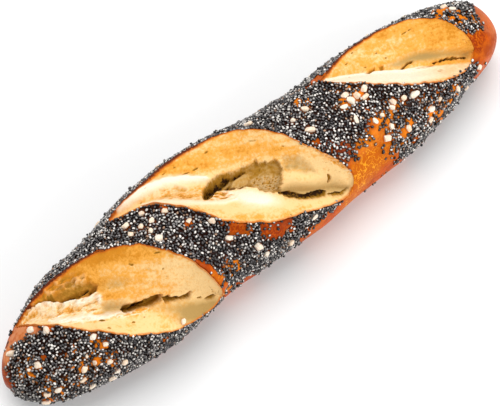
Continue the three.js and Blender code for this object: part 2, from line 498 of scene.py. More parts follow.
class Face:
    """The torn face between a gash's rims: a grid with its height and its colouring.

    Its features are placed by photo pixels (u, v); their sizes are in mm. A line's
    or outline's edge is ragged by so many mm of noise, drawn from the seed.
    """

    # the colouring layers: toast, painted shade of cracks and hollows, painted shade, torn crumb
    LAYERS = ("height", "toast", "recess_shade", "shade", "torn")

    def __init__(self, gash, seed):
        reach, _ = tip_line(gash)
        rows = int(TIP_ROWS * reach / CRUMB_STEP)
        columns = int(widest(gash) / CRUMB_STEP)
        share = (1 - np.cos(np.pi * np.linspace(0, 1, rows + 2)[1:-1])) / 2
        self.gash = gash
        self.seed = seed
        self.share, self.place = np.meshgrid(share, np.linspace(0, 1, columns + 1), indexing="ij")
        self.low = lower_rim(gash, self.share)
        self.high = upper_rim(gash, self.share)
        self.run = self.share * reach
        low_wobble = rim_wobble(self.share, gash["lower"][0])
        high_wobble = rim_wobble(self.share, gash["upper"][0])
        self.across = mix(self.low - low_wobble, self.high - high_wobble, self.place)
        self.across += low_wobble * (1 - self.place) ** WOBBLE_FADE
        self.across += high_wobble * self.place ** WOBBLE_FADE
        self.ends = depth_share(gash, self.share)
        self.flat = np.stack([self.run, self.across, 0 * self.run + seed * NOISE_STRIDE], -1)
        self.to_rim = np.minimum(self.across - self.low, self.high - self.across)
        for layer in self.LAYERS:
            setattr(self, layer, np.zeros_like(self.run))

    def noise(self, size, layers, stretch=1.0, seed=0):
        """Noise from -1 to 1 on the face, stretched along the gash."""
        spots = self.flat / np.array([stretch, 1, 1])
        return 2 * layered_noise(spots, size, layers, self.seed * 13 + seed) - 1

    def bowl(self, valley, upper_power, lower_power):
        """The basic hollow between the rims, deepest along the (share, place) stops."""
        shares, places = zip(*valley)
        offsets = np.linspace(-VALLEY_BLUR, VALLEY_BLUR, 9)
        deepest = sum(np.interp(self.share + offset, shares, places) for offset in offsets) / len(offsets)
        above = np.clip((self.place - deepest) / (1 - deepest), 0, 1) ** upper_power
        below = np.clip((deepest - self.place) / deepest, 0, 1) ** lower_power
        floor = 1 - np.where(self.place > deepest, above, below)
        self.height -= (self.gash["depth"] + RIM_LIFT) * floor * self.ends
        x, girth = off_gash(self.gash, self.share, self.across)
        relief = unevenness(x, girth) + RIM_LIFT * from_tips(self.share) + self.height
        self.u, self.v = in_picture(point_at(x, girth, relief))

    def lay(self, mask, height=0.0, toast=0.0, shade=0.0, torn=0.0, recess_shade=0.0):
        """Adds to the height and the colouring by a mask; the painted shade of cracks and hollows only
        where it is more.
        """
        self.height += height * mask
        self.toast += toast * mask
        self.shade += shade * mask
        self.torn += torn * mask
        self.recess_shade = np.maximum(self.recess_shade, recess_shade * mask)
        return mask

    def region(self, outline, soft, ragged, seed):
        """1 inside an outline, with soft and ragged edges."""
        far, _ = to_line(self.u, self.v, outline + outline[:1])
        far = np.where(in_outline(self.u, self.v, outline), far, -far) / PIXELS_PER_MM
        return smooth(-soft / 2, soft / 2, far + ragged * self.noise(1.5, 3, seed=seed))

    def side(self, line, soft, ragged=0.0, seed=0):
        """1 above a line that crosses the face from left to right in the picture, 0 below it."""
        above = (np.interp(self.u, *zip(*line)) - self.v) / PIXELS_PER_MM
        return smooth(-soft / 2, soft / 2, above + ragged * self.noise(1.5, 3, seed=seed))

    def stroke(self, line, width, ragged, seed):
        """A soft ridge of 1 along a line, that narrows at its ends."""
        far, at = to_line(self.u, self.v, line)
        far = far / PIXELS_PER_MM + ragged * self.noise(1.6, 3, seed=seed)
        here = width * (0.35 + 0.65 * (4 * at * (1 - at)) ** 0.5)
        return np.exp(-(far / here) ** 2)

    def groove(self, line, width, depth, ragged, recess_shade, seed):
        """A crack along a line, that narrows at its ends, with painted shade in it."""
        far, at = to_line(self.u, self.v, line)
        half = width / 2 * (0.3 + 0.7 * (4 * at * (1 - at)) ** 0.5)
        half = half * (1 + 0.5 * self.noise(2.5, 2, seed=seed + 1))
        away = far / PIXELS_PER_MM + ragged * self.noise(1.2, 2, seed=seed)
        return self.lay(1 - smooth(0.4 * half, 1.2 * half, away), height=-depth, recess_shade=recess_shade)

    def opening(self, outline, depth, soft, ragged, recess_shade, seed):
        """A deeper opening inside an outline, with painted shade in it."""
        return self.lay(self.region(outline, soft, ragged, seed), height=-depth, recess_shade=recess_shade)

    def spot(self, centre, size, turn):
        """How far from a centre, as a share of a size along and across a direction in the picture."""
        right, up = (self.u - centre[0]) / PIXELS_PER_MM, (centre[1] - self.v) / PIXELS_PER_MM
        cosine, sine = math.cos(math.radians(turn)), math.sin(math.radians(turn))
        return np.hypot((right * cosine + up * sine) / size[0], (up * cosine - right * sine) / size[1])

    def mound(self, centre, size, rise, turn=0.0):
        """A soft swelling, or a hollow if rise is below 0."""
        far = self.spot(centre, size, turn)
        return self.lay(np.exp(-1.5 * far * far), height=rise)

    def pit(self, centre, size, depth, turn, recess_shade, seed=0):
        """A small sharp-edged hole with painted shade in it."""
        far = self.spot(centre, size, turn) + 0.3 * self.noise(0.9, 2, seed=seed)
        self.lay(1 - smooth(0.5, 1.15, far), height=-depth, recess_shade=recess_shade)

    def pits(self, places, depth, recess_shade, seed):
        """Several holes: pixel, length and width in mm, and turn in degrees."""
        for centre, size, turn in places:
            self.pit(centre, size, depth, turn, recess_shade, seed)

    def pores(self, count, low, high, seed):
        """Small slit pores with painted shade in them, scattered between two shares of the way up the face.
        """
        draw = np.random.default_rng(seed)
        rows, columns = self.share.shape
        for _ in range(count):
            row = int(rows * draw.uniform(0.15, 0.88))
            column = int(columns * draw.uniform(low, high))
            length = draw.uniform(0.2, 0.6)
            centre = self.u[row, column], self.v[row, column]
            size = (length, length * draw.uniform(0.3, 0.6))
            depth, turn = draw.uniform(0.12, 0.3), draw.uniform(0, 50)
            self.pit(centre, size, depth, turn, draw.uniform(0.15, 0.4))

    def tear(self, mask, amplitude, size, stretch, turn, seed, white, brown, stringy=1.0):
        """Torn crumb where the mask is 1, lumpy or stringy, its strings at turn degrees to the gash."""
        along = self.run + 0.9 * self.noise(3, 2, seed=seed + 5)
        across = self.across + 0.9 * self.noise(3, 2, seed=seed + 6)
        cosine, sine = math.cos(math.radians(turn)), math.sin(math.radians(turn))
        slanted = np.stack([
            (along * cosine + across * sine) / stretch,
            across * cosine - along * sine,
            self.flat[..., 2],
        ], -1)
        lumps = 0.5 + 1.6 * (layered_noise(slanted, 1.6 * size, 4, self.seed * 5 + seed) - 0.5)
        strings = mix(lumps, ridged_noise(slanted, size, 3, self.seed * 5 + seed), stringy)
        # white paints the crests paler, partly the torn crumb's own colour and partly painted light; brown
        # sets painted shade in the valleys
        self.lay(mask, height=amplitude * (strings - 0.45), torn=white * smooth(0.40, 0.66, strings),
                 toast=0.9 * smooth(0.56, 0.34, strings), recess_shade=brown * smooth(0.38, 0.22, strings))

    def finish_skin(self):
        """Fine unevenness of the whole face, stretched along the gash."""
        self.height += 0.35 * self.ends * self.noise(7, 2, 2.5, seed=40)
        self.height += 0.13 * self.ends * self.noise(1.3, 3, 4, seed=41)
        self.toast += 0.5 * self.noise(1.3, 3, 9, seed=42) + 0.25 * self.noise(5, 2, 2, seed=43)


def near_face():
    face = Face(GASHES["near"], 1)
    face.bowl(((0, 0.5), (0.2, 0.40), (0.4, 0.36), (0.55, 0.30), (0.7, 0.38), (0.85, 0.42), (1, 0.35)),
              1.5, 1.35)
    # the tall face is toasted most at the broad end
    tall = face.side(((20, 318), (60, 302), (100, 300), (160, 296), (220, 292)), 3)
    face.toast += 0.25 - 0.4 * smooth(165, 200, face.u) + tall * (0.1 + 0.95 * smooth(185, 75, face.u))
    upper_toast = 0.35 * smooth(272, 256, face.v) * smooth(170, 130, face.u)
    face.lay(tall, toast=0.25 * smooth(262, 248, face.v) + upper_toast)
    # stringy crumb at the broad end
    web = face.region([
        (27, 312), (39, 304), (56, 300.6), (78, 299.7), (91, 296.5), (98, 291), (102, 297), (101, 309),
        (92, 315), (78, 315), (64, 318), (51, 322), (31, 324), (20, 326)], 1.2, 0.5, 2)
    face.lay(web, height=0.5, toast=-0.85)
    face.tear(web, 1.3, 0.65, 1.8, 12, seed=3, white=0.5, brown=0.35, stringy=0.3)
    face.tear(web, 0.5, 0.7, 3.0, 20, seed=28, white=0.15, brown=0.2, stringy=0.6)
    crown = face.stroke([
        (36, 307), (48, 303.5), (60, 302.5), (80, 302.5), (93, 298), (99, 297), (100, 303)], 1.3, 0.4, 4)
    face.lay(crown, height=0.3, torn=0.6)
    face.recess_shade *= 1 - 0.7 * crown
    # browned dips in the stringy crumb, with painted shade in them
    browned = (
        ((37, 317.5), (4.0, 1.1)), ((72, 312), (3.4, 0.9)), ((98, 313.5), (2.4, 0.6)),
        ((50, 319), (2.4, 0.5)))
    for centre, size in browned:
        brown = face.mound(centre, size, -0.5, 12) * (0.6 + 0.6 * face.noise(1.4, 2, 1.5, seed=7))
        face.lay(brown, toast=0.7, shade=0.35, torn=-1.1)
    # torn golden crumb beside the rim
    golden = face.region([
        (21, 320), (31, 302), (42, 289), (56, 279), (70, 275), (84, 274), (90, 280), (80, 283), (66, 288),
        (56, 294), (46, 301), (36, 307), (28, 315)], 2.0, 0.5, 25)
    face.tear(golden, 1.1, 1.2, 4.0, 16, seed=26, white=0.12, brown=0.45)
    # the long hole above it, and two smaller ones, with painted shade in them
    hole = face.region([
        (46, 299), (55, 292), (68, 286), (82, 282), (89, 282.5), (97, 285), (95, 291), (88, 295),
        (78, 299.5), (68, 302), (56, 303)], 0.9, 0.4, 5)
    face.lay(hole, height=-1.8, shade=0.25, torn=-1, recess_shade=0.40 + 0.25 * face.noise(1.2, 2, 2, seed=9))
    brim = face.stroke([(50, 295), (57, 290), (66, 286.5), (76, 283.5), (86, 281.5)], 0.7, 0.3, 35)
    face.lay(brim, height=0.3, toast=-0.6, torn=0.2)
    face.groove([(57, 300), (64, 297), (72, 293.5), (80, 290.5), (86, 287)], 1.7, 1.4, 0.4, 1.0, seed=6)
    face.groove([(88.5, 292), (91, 289), (94.5, 287)], 1.6, 1.0, 0.3, 0.8, seed=8)
    face.groove([(63.5, 285.3), (69, 283.5), (75, 280.8)], 2.0, 1.1, 0.15, 0.5, seed=10)
    face.groove([(79.5, 278.8), (84.5, 278)], 1.1, 0.6, 0.1, 0.45, seed=11)
    for centre in ((47.5, 297), (50.5, 295.5), (39, 302), (43.5, 300)):
        face.pit(centre, (0.8, 0.6), 0.6, 40, 0.75, seed=29)
    step = face.groove([(28, 310), (36, 305.5), (44, 300.5), (54, 297)], 1.3, 0.9, 0.5, 0.5, seed=12)
    face.lay(step, toast=1)
    # a soft dent in the tall face, and the hollow where the opening starts
    face.lay(face.mound((114, 285), (5.4, 2.3), -0.7, 8), toast=-0.45, shade=0.45)
    hollow = face.region([
        (102, 305), (112, 303), (124, 304), (128, 309), (119, 311.5), (103, 314)], 4.0, 0.5, 13)
    face.lay(hollow, height=-1.3, toast=-0.3, shade=0.85)
    # the opening along the valley, and its thin continuation
    face.opening([
        (121, 309), (124, 305), (131, 303.5), (139, 302.5), (149, 298), (157, 295), (162, 295.5),
        (161.5, 301.5), (153, 306), (143, 309), (137, 310.5), (128, 313), (124, 312)],
        3.6, 0.9, 0.55, 0.72, 14)
    face.groove([(124, 309.5), (131, 309.5), (138, 306.5), (146, 303)], 1.2, 1.2, 0.5, 1.0, seed=15)
    face.opening([
        (162.5, 297), (168, 295.5), (171, 297.5), (178, 297), (186, 295), (190.5, 291), (190.5, 298.5),
        (182, 300.5), (175, 301), (171, 303), (166, 304)], 2.4, 0.7, 0.6, 0.75, 16)
    face.groove([(164, 298.5), (171, 299.5), (178, 299), (189, 296)], 0.9, 1.0, 0.5, 1.0, seed=17)
    face.groove([(197.5, 298.4), (201.5, 297.6)], 1.0, 1.0, 0.2, 0.85, seed=18)
    face.groove([(205.5, 299), (210, 298), (215, 295.6)], 1.4, 1.5, 0.2, 1.0, seed=19)
    # the torn crest of the lower lip
    crest = face.stroke([
        (50, 322.5), (70, 320), (91, 317), (105, 314.8), (119, 312.5), (131, 312)], 1.1, 0.5, 20)
    face.lay(crest, height=0.8, torn=0.9)
    fringe = face.stroke([
        (60, 323), (85, 320), (103, 318), (120, 315.5), (135, 313.5), (150, 309)], 1.2, 0.6, 21)
    face.tear(fringe, 0.9, 1.0, 2.5, 8, seed=22, white=0.6, brown=0.3)
    lip = 1 - face.side(((20, 327), (60, 322), (100, 317), (130, 312), (160, 304), (220, 299)), 2)
    face.toast -= (0.25 + 0.3 * smooth(100, 70, face.u)) * lip * smooth(165, 140, face.u)
    # the stretch beyond it, browned a little, with painted shade that deepens towards the inner tip
    shaded_stretch = face.region([
        (150, 306), (163, 304.5), (175, 302.5), (195, 301), (222, 298), (219, 306), (206, 315), (196, 321),
        (186, 324), (176, 318), (164, 312)], 6.0, 0.7, 23)
    face.lay(shaded_stretch, toast=0.5, shade=0.68 + 0.1 * smooth(165, 205, face.u))
    dusk = face.region([
        (184, 309), (200, 304), (224, 299), (221, 306), (206, 317), (194, 322), (184, 321)], 8.0, 0.8, 27)
    face.lay(dusk, shade=0.6, recess_shade=0.2 * smooth(190, 210, face.u))
    face.pores(34, 0.5, 0.95, 101)
    face.pits((
        ((131, 264.5), (1.0, 0.4), -12), ((157, 252.5), (1.3, 0.3), 10), ((102, 320.5), (1.2, 0.4), 0),
        ((134, 323), (0.7, 0.35), 0), ((144.5, 317.5), (0.4, 0.25), 0), ((163, 269), (0.35, 0.25), 40),
        ((109.5, 328), (0.8, 0.25), -5)), 0.5, 0.85, 24)
    face.finish_skin()
    return face


def middle_face():
    face = Face(GASHES["middle"], 2)
    face.bowl(((0, 0.5), (0.15, 0.52), (0.35, 0.45), (0.45, 0.42), (0.6, 0.36), (0.7, 0.30), (0.8, 0.25),
               (0.9, 0.22), (1, 0.25)), 1.5, 1.4)
    tall = face.side(((110, 210), (140, 188), (200, 173), (280, 155), (352, 160)), 3)
    face.toast += 0.1 + 0.6 * tall * smooth(320, 250, face.u) + 0.3 * smooth(150, 130, face.u)
    streak = face.stroke([(150, 178), (180, 163), (215, 152), (250, 148), (285, 148)], 1.5, 0.6, 30)
    face.lay(streak, toast=0.35)
    # a bright ridge at the broad end, and the porous band below it
    ridge = face.stroke([
        (118, 212), (132, 200), (147, 190), (165, 183), (185, 180), (207, 179)], 1.5, 0.3, 1)
    face.lay(ridge, height=1.2, torn=1.3)
    porous = face.region([
        (136, 201), (145, 194), (158, 189.5), (175, 187), (192, 186), (205, 186), (206, 197), (198, 200),
        (180, 200), (160, 200), (145, 202.5)], 1.2, 0.5, 2)
    porous = porous * smooth(138, 165, face.u)
    face.tear(porous, 0.9, 0.8, 1.3, 10, seed=3, white=0.2, brown=0.4, stringy=0.5)
    face.lay(porous, toast=0.45, shade=0.08 + 0.35 * smooth(0.1, 0.6, face.noise(2.2, 2, seed=4)))
    # the deep pocket: a steep ragged edge above, an easy slope below, with painted shade in it, darkest
    # right under its upper edge
    pocket = face.region([
        (203.5, 190), (208, 182), (221, 173.5), (233, 171.5), (242, 167.5), (254, 161), (262, 161.5),
        (276, 160), (282, 168), (281, 180), (280, 192), (266, 191.5), (254, 187), (247, 185.5),
        (234, 188.5), (222, 189.5), (214, 192), (208, 199), (204, 198)], 0.8, 0.9, 5)
    face.height -= pocket * (1.8 + 0.7 * smooth(270, 240, face.u))
    depths = face.region([
        (203, 190), (208, 182), (221, 173), (233, 171), (243, 168), (240, 175), (229, 178), (228, 186),
        (234, 189), (222, 190), (214, 192), (208, 200), (203, 199)], 1.4, 0.6, 6)
    face.lay(depths, height=-0.9)
    olive = face.region([
        (242, 168), (254, 160), (277, 159), (283, 169), (279, 176), (266, 172), (252, 175), (246, 180)],
        1.6, 0.6, 7)
    inside = smooth(0.05, 0.4, pocket)
    face.lay(pocket, shade=0.6)
    face.lay(inside, recess_shade=0.47 + 0.18 * smooth(234, 222, face.u))
    face.lay(inside * olive, recess_shade=0.45 + 0.5 * face.noise(1.3, 3, seed=21))
    face.lay(depths, recess_shade=0.98 + 0.6 * face.noise(1.1, 3, seed=22))
    edge = face.stroke([
        (205, 196), (206, 189), (211, 184), (217, 179.5), (224, 176), (233, 173.5), (244, 168)],
        1.3, 0.6, 23)
    face.lay(inside * edge, recess_shade=0.88)
    wall = face.region([
        (250, 178), (266, 172), (281, 176), (280, 192), (266, 191), (255, 187)], 1.8, 0.5, 8)
    face.recess_shade *= 1 - 0.5 * wall
    face.tear(wall, 1.1, 0.8, 1.0, 0, seed=9, white=0.35, brown=0.95)
    skin = face.region([
        (230, 187), (232, 179), (239, 173), (248, 171), (250, 178), (247, 184), (239, 187.5)], 1.0, 0.3, 33)
    face.lay(skin, height=1.3)
    face.recess_shade = mix(face.recess_shade, 0.30 + 0.1 * face.noise(1.5, 2, seed=34), skin)
    face.groove([(203.5, 197), (205, 191), (209, 186), (216, 181), (226, 176)], 2.0, 1.5, 0.6, 1.0, seed=10)
    sliver = face.stroke([(222, 185), (227, 180), (229, 178)], 0.5, 0.2, 24)
    face.recess_shade *= 1 - 0.7 * sliver
    # a shaded hollow above the swollen crumb
    above = face.region([
        (282, 158), (296, 157), (306, 163), (314, 172), (304, 173.5), (292, 170), (283, 172)], 3.0, 0.5, 11)
    face.lay(above, height=-0.9, toast=0.5, shade=0.6 * (0.9 + 0.7 * face.noise(1.0, 2, seed=26)))
    # two swollen skins of crumb at the slim end, over a crack
    first = face.mound((303, 183), (8.0, 3.2), 2.0, 0)
    second = face.mound((340, 180), (3.8, 4.0), 1.2)
    face.lay(np.maximum(first, second), toast=-0.45)
    face.groove([(327.5, 174), (329, 178), (326.5, 182)], 1.0, 0.8, 0.2, 0.6, seed=12)
    shadow = face.stroke([(282, 190), (300, 190), (320, 187), (346, 187)], 2.4, 0.4, 15)
    face.lay(shadow, shade=0.85)
    face.opening([
        (279, 193), (288, 192), (297, 193.5), (305, 193), (313, 190), (321, 190), (326, 191), (325, 197),
        (316, 199), (304, 199.5), (290, 198.5)], 1.9, 0.7, 0.7, 1.1, 13)
    face.opening([
        (328, 194), (334, 191.5), (340, 191), (345.5, 187), (348, 189.5), (342, 196), (334, 197.5)],
        1.5, 0.7, 0.5, 0.95, 14)
    # frayed golden crumb at the tip
    frayed = face.region([
        (318, 150), (334, 152), (345, 160), (351, 159), (354, 168), (350, 176), (344, 170), (334, 164),
        (324, 158)], 1.8, 0.6, 31)
    face.tear(frayed, 0.7, 0.8, 1.2, 10, seed=32, white=0.25, brown=0)
    face.lay(frayed, toast=0.9)
    # the lower lip: white and swollen in its middle, with a torn upper edge
    swollen = face.mound((254, 198), (9.5, 3.0), 1.3, -8)
    face.torn += 1.1 * smooth(0.0, 0.9, swollen + 0.15 * face.noise(1.5, 3, 2, seed=25))
    fibres = face.region([
        (206, 196), (214, 193), (226, 191), (234, 192), (233, 197.5), (226, 200), (212, 201), (204, 201)],
        1.0, 0.5, 16)
    face.tear(fibres, 1.3, 1.1, 2.0, 8, seed=17, white=0.5, brown=0.5)
    face.lay(fibres, toast=0.3)
    torn_edge = face.stroke([
        (142, 205.5), (160, 202.5), (180, 202), (205, 203), (225, 202.5), (236, 199.5)], 0.9, 0.4, 18)
    face.lay(torn_edge, height=0.5, torn=0.7)
    low_lip = face.stroke([
        (190, 207), (215, 212), (240, 218), (262, 219), (285, 215), (310, 206)], 1.6, 0.3, 19)
    face.lay(low_lip, toast=0.55)
    face.pores(34, 0.62, 0.95, 102)
    face.pits((
        ((205.5, 152), (0.9, 0.35), 20), ((186, 173), (1.5, 0.35), 22), ((195, 168.5), (1.2, 0.45), 30),
        ((163, 174), (0.6, 0.25), 35), ((174, 167), (0.6, 0.25), 30), ((283, 146), (0.5, 0.2), 0),
        ((252, 141), (1.6, 0.25), 5), ((304, 145), (0.5, 0.2), -30)), 0.5, 0.8, 20)
    face.finish_skin()
    return face


def far_face():
    face = Face(GASHES["far"], 3)
    face.bowl(((0, 0.62), (0.06, 0.56), (0.26, 0.37), (0.42, 0.31), (0.5, 0.27), (0.60, 0.23), (0.77, 0.22),
               (0.95, 0.17), (1, 0.15)), 1.4, 1.2)
    tall = face.side((
        (318, 79.5), (330, 78.3), (346, 75.5), (364, 73.2), (385, 71), (403, 70), (420, 67), (440, 65.5),
        (474, 62)), 0.8, 0.2, 1)
    face.toast += 0.72 + 0.35 * smooth(60, 25, face.v) + 0.2 * smooth(400, 450, face.u)
    face.lay(1 - tall, toast=-0.35, torn=1.0 - 0.6 * smooth(405, 455, face.u))
    face.height += 0.8 * (1 - tall) * face.ends * smooth(0, 0.1, face.place)
    warm = face.stroke([(340, 83), (380, 84), (420, 83), (450, 78)], 0.8, 0.2, 2)
    face.lay(warm, torn=-0.4)
    face.groove([
        (433.5, 63.5), (441, 61), (447, 59), (456, 58.5), (466, 58.5)], 0.95, 1.3, 0.7, 0.8, seed=3)
    face.groove([(401.5, 69.5), (404.5, 66), (408, 63), (412.5, 61)], 1.2, 1.2, 0.35, 0.8, seed=4)
    for outline in ([(364.5, 74.5), (370, 70.5), (374.5, 67), (375, 71), (370, 74.5)],
                    [(378, 66), (383, 65.5), (383.5, 70), (380.5, 70.5)]):
        face.lay(face.region(outline, 0.8, 0.2, 5), height=-1.0, toast=1, recess_shade=0.55)
    hollow = face.region([
        (388, 66), (400, 59), (415, 53), (435, 51.5), (455, 51.5), (470, 52), (468, 58), (450, 56.5),
        (434, 60), (415, 60.5), (400, 66)], 3.5, 0.4, 6)
    face.lay(hollow, height=-0.7, shade=0.95)
    face.lay(face.mound((424, 56), (4.5, 1.6), 0, 12), shade=0.3)
    face.groove([(415, 69), (425, 67.5), (433, 66)], 0.7, 0.5, 0.2, 0.3, seed=7)
    face.pit((440, 70.5), (1.4, 0.6), 0.4, 10, 0.35, seed=8)
    face.pores(40, 0.42, 0.95, 103)
    face.pits((
        ((346, 63.5), (0.5, 0.3), 30), ((352, 53), (0.6, 0.3), 35), ((376, 53), (0.5, 0.3), 0),
        ((385.5, 58), (0.5, 0.3), 0), ((365, 67), (0.5, 0.3), 0), ((404, 33), (1.2, 0.25), 30),
        ((409, 30), (0.9, 0.2), 20), ((390, 48.5), (0.35, 0.2), 0)), 0.4, 0.7, 9)
    face.finish_skin()
    return face


def make_crumb(name, face):
    """The torn face with a bead along both rims, closed by an underside in the loaf."""
    gash = face.gash
    share, ends = face.share[:, :1], face.ends[:, :1]
    tip_fade = from_tips(share)
    outward = np.linspace(1, 0, BEAD_COLUMNS, endpoint=False)[None, :]
    none = 0 * outward + 0 * share

    def beside(lower, middle, upper):
        return np.concatenate([lower + none, middle, upper + none], 1)

    across = beside(
        face.low[:, :1] - BEAD_WIDTH * tip_fade * outward,
        face.across,
        face.high[:, :1] + BEAD_WIDTH * tip_fade * outward[:, ::-1],
    )
    out = beside(outward, 0 * face.across, outward[:, ::-1])
    near_rim = beside(1, 1 - smooth(0, BEAD_BLEND, face.to_rim), 1)
    x, girth = off_gash(gash, share + 0 * across, across)
    bead = BEAD_RISE * tip_fade * near_rim - (BEAD_RISE + BEAD_SINK) * tip_fade * out ** 2
    relief = unevenness(x, girth) + RIM_LIFT * tip_fade + bead + beside(0, face.height, 0)
    top = point_at(x, girth, relief)
    # the walls of the openings crumble sideways too
    broken = beside(0, np.clip(face.recess_shade, 0, 1), 0)[..., None]
    push = np.stack([layered_noise(top, CRUMBLE_SIZE, 2, 51 + axis) - 0.5 for axis in range(3)], -1)
    top = top + CRUMBLE * broken * push
    blotches = mix(0.65, 1.25, layered_noise(top, CRUMBLE_SIZE, 3, 31))
    slab_place = np.linspace(0.94, 0.06, SLAB_COLUMNS)[None, :]
    slab_across = mix(face.low[:, :1], face.high[:, :1], slab_place)
    slab_x, slab_girth = off_gash(gash, share + 0 * slab_across, slab_across)
    under = point_at(slab_x, slab_girth, -(gash["depth"] + TRENCH - SLAB_LIFT) * ends)
    rings = np.concatenate([top, under], 1)
    tips = [point_at(*off_gash(gash, end, 0.0), TIP_RELIEF) for end in (0.0, 1.0)]
    points = np.concatenate([rings.reshape(-1, 3), tips])
    piece = make_mesh(name, points, loft_faces(*rings.shape[:2]))

    def colour(key, values, at_tips):
        slab = np.zeros((len(values), SLAB_COLUMNS))
        full = np.concatenate([values, slab], 1)
        set_attribute(piece, key, np.concatenate([full.ravel(), at_tips]))

    for key in Face.LAYERS[1:]:
        values = getattr(face, key)
        values = beside(values[:, :1], values, values[:, -1:])
        if key == "recess_shade":
            values = values * blotches
        colour(key, np.clip(values, 0, 2), [0, 0])
    rim_width = mix(RIM_WIDTH, WIDE_RIM, (face.place > 0.5) * smooth(0.6, 0.2, face.share))
    wide = smooth(0.6, 0.2, share) * smooth(0, 0.1, share)
    upper_edge = mix(mix(0.75, 1.0, wide), 0.42, smooth(0.62, 0.85, share))
    inner = mix(0.52, upper_edge, face.place) * (1 - smooth(0.0, 1.0, face.to_rim / rim_width))
    colour("rim", beside(0.62 - 0.15 * (1 - outward), inner, upper_edge), [0.6, 0.45])
    return piece


crumbs = [
    make_crumb("crumb_near", near_face()),
    make_crumb("crumb_middle", middle_face()),
    make_crumb("crumb_far", far_face()),
]

# ------------------------------------------------------- where the crust is bare

# Bare patches of crust, as a pixel of the photo, a radius in mm and how bare.
BARE_PATCHES = (
    # along the left side of the broad end
    (21, 331, 3.2, 1), (32, 328, 3.0, 1), (41, 327, 2.6, 1), (49, 327, 1.8, 1), (13, 339, 2.8, 1),
    (8, 349, 2.4, 1), (6, 358, 1.6, 1), (12, 385, 1.6, 0.8),
    # around the inner tip of the near gash
    (197, 262, 1.5, 1), (203, 265, 1.8, 1), (209, 270, 2.2, 1), (214, 276, 2.4, 1), (219, 283, 2.8, 1),
    (224, 289, 3.0, 1), (230, 288, 2.2, 1), (236, 285, 1.4, 1),
    # the band past the tip of the middle gash
    (357, 190, 8.0, 1), (362, 175, 7.5, 1), (367, 160, 6.5, 0.95), (380, 150, 5.5, 0.9),
    (375, 172, 8, 1), (345, 152, 3.8, 0.7), (330, 147, 2.6, 0.5), (388, 140, 4.0, 0.6),
    (380, 128, 4.0, 0.55), (352, 199, 4.4, 1), (340, 208, 3.6, 1), (392, 160, 4.0, 0.9),
    (372, 140, 4.0, 0.6), (330, 217, 3.0, 1), (320, 226, 2.6, 1), (309, 234, 2.0, 0.9),
    (364, 188, 6.0, 1), (374, 180, 5.0, 1), (384, 171, 3.5, 0.8),
    # under the lower rim of the middle gash
    (238, 226, 3.8, 0.95), (247, 231, 2.4, 0.8), (270, 226, 3.4, 0.95), (279, 232, 3.6, 0.95),
    (285, 225, 2.8, 0.9), (267, 236, 2.4, 0.8),
    # the slim end
    (492, 33, 5.0, 1), (490, 44, 6.5, 1), (486, 58, 6.0, 1), (482, 70, 4.5, 1), (474, 44, 4.0, 1),
    (478, 52, 4.5, 1), (494, 26, 2.0, 1), (482, 38, 3.4, 1), (437, 12, 2.4, 0.9), (441, 17, 2.0, 0.8),
    (470, 38, 2.4, 1), (482, 46, 5.0, 1),
    # beside the outer tip of the far gash
    (318, 78, 3.0, 0.9), (308, 84, 2.2, 0.6),
    # small gaps
    (100, 345, 2.0, 0.8), (44, 358, 1.2, 0.8), (350, 83, 1.8, 0.8), (359, 93, 1.8, 0.8),
    (430, 115, 1.4, 0.7), (441, 114, 1.8, 0.9), (411, 125, 2.0, 0.7), (343, 97, 1.6, 0.6),
    (222, 222, 1.6, 0.5), (98, 360, 1.4, 0.7), (50, 401, 2.6, 0.8), (68, 399, 2.0, 0.7),
    (166, 341, 1.4, 0.8), (236, 262, 1.2, 0.7), (241, 268, 1.2, 0.7), (406, 133, 2.4, 0.8),
    (441, 120, 1.9, 0.9), (367, 110, 1.2, 0.7), (378, 121, 1.6, 0.8), (416, 142, 2.4, 0.8),
    (189, 225, 1.6, 0.8), (164, 208, 1.6, 0.7), (293, 230, 1.6, 0.8), (318, 142, 1.8, 0.8),
    (326, 230, 1.6, 0.8), (345, 210, 2.6, 0.9), (372, 124, 2.0, 0.6), (385, 118, 2.0, 0.5),
)
# Bare strips of crust along the loaf's outline: pixels, and half the width in pixels.
BARE_STRIPS = (
    (((33, 320), (20, 331), (11, 345), (4, 358), (3, 371), (7, 384)), 5.5),
    (((305, 241), (322, 227), (340, 211), (358, 195), (374, 181), (388, 170), (400, 160)), 4.5),
    (((224, 296), (234, 289), (243, 283), (254, 276)), 3),
    (((498, 40), (495, 54), (488, 66), (480, 76)), 6),
)
# Places with many small gaps between the seeds: pixel and radius in mm.
SPARSE_PATCHES = (
    (92, 365, 11), (62, 388, 8), (30, 372, 6), (395, 128, 11), (436, 110, 9), (375, 145, 8),
    (348, 98, 6), (455, 95, 6), (300, 100, 5), (165, 330, 4), (448, 16, 7), (464, 22, 7),
    (232, 268, 5),
)
SEED_LINE = 5.0             # mm up, where the seeds thin out towards the underside
SEED_CLEARANCE = 0.3        # mm between the rims and the middle of the nearest seeds
BARE_RIM = 0.6              # mm more of it along the upper rims, towards the broad end
BED_DEPTH = 0.75            # mm
SPARSE_SIZE = 1.3           # mm, size of the small gaps where seeds lie more thinly
SPARSENESS = 0.85
NOSE_BARE = (98, 101)       # mm along the loaf, where the seeds end at the slim end
NOSE_MIDDLE = 4             # mm, y of its middle
NOSE_ROUNDING = 0.35


def patches_on_crust(patches):
    """The patches (u, v, ...) that meet the crust, with their point on it for the pixel."""
    for u, v, *rest in patches:
        centre, _ = on_surface(crust_tree, (u, v))
        if centre is not None:
            yield centre, *rest


def mm_from(centre, points):
    """mm from a centre to each point, all in metres."""
    return np.linalg.norm(points - np.array(centre), axis=1) / MM


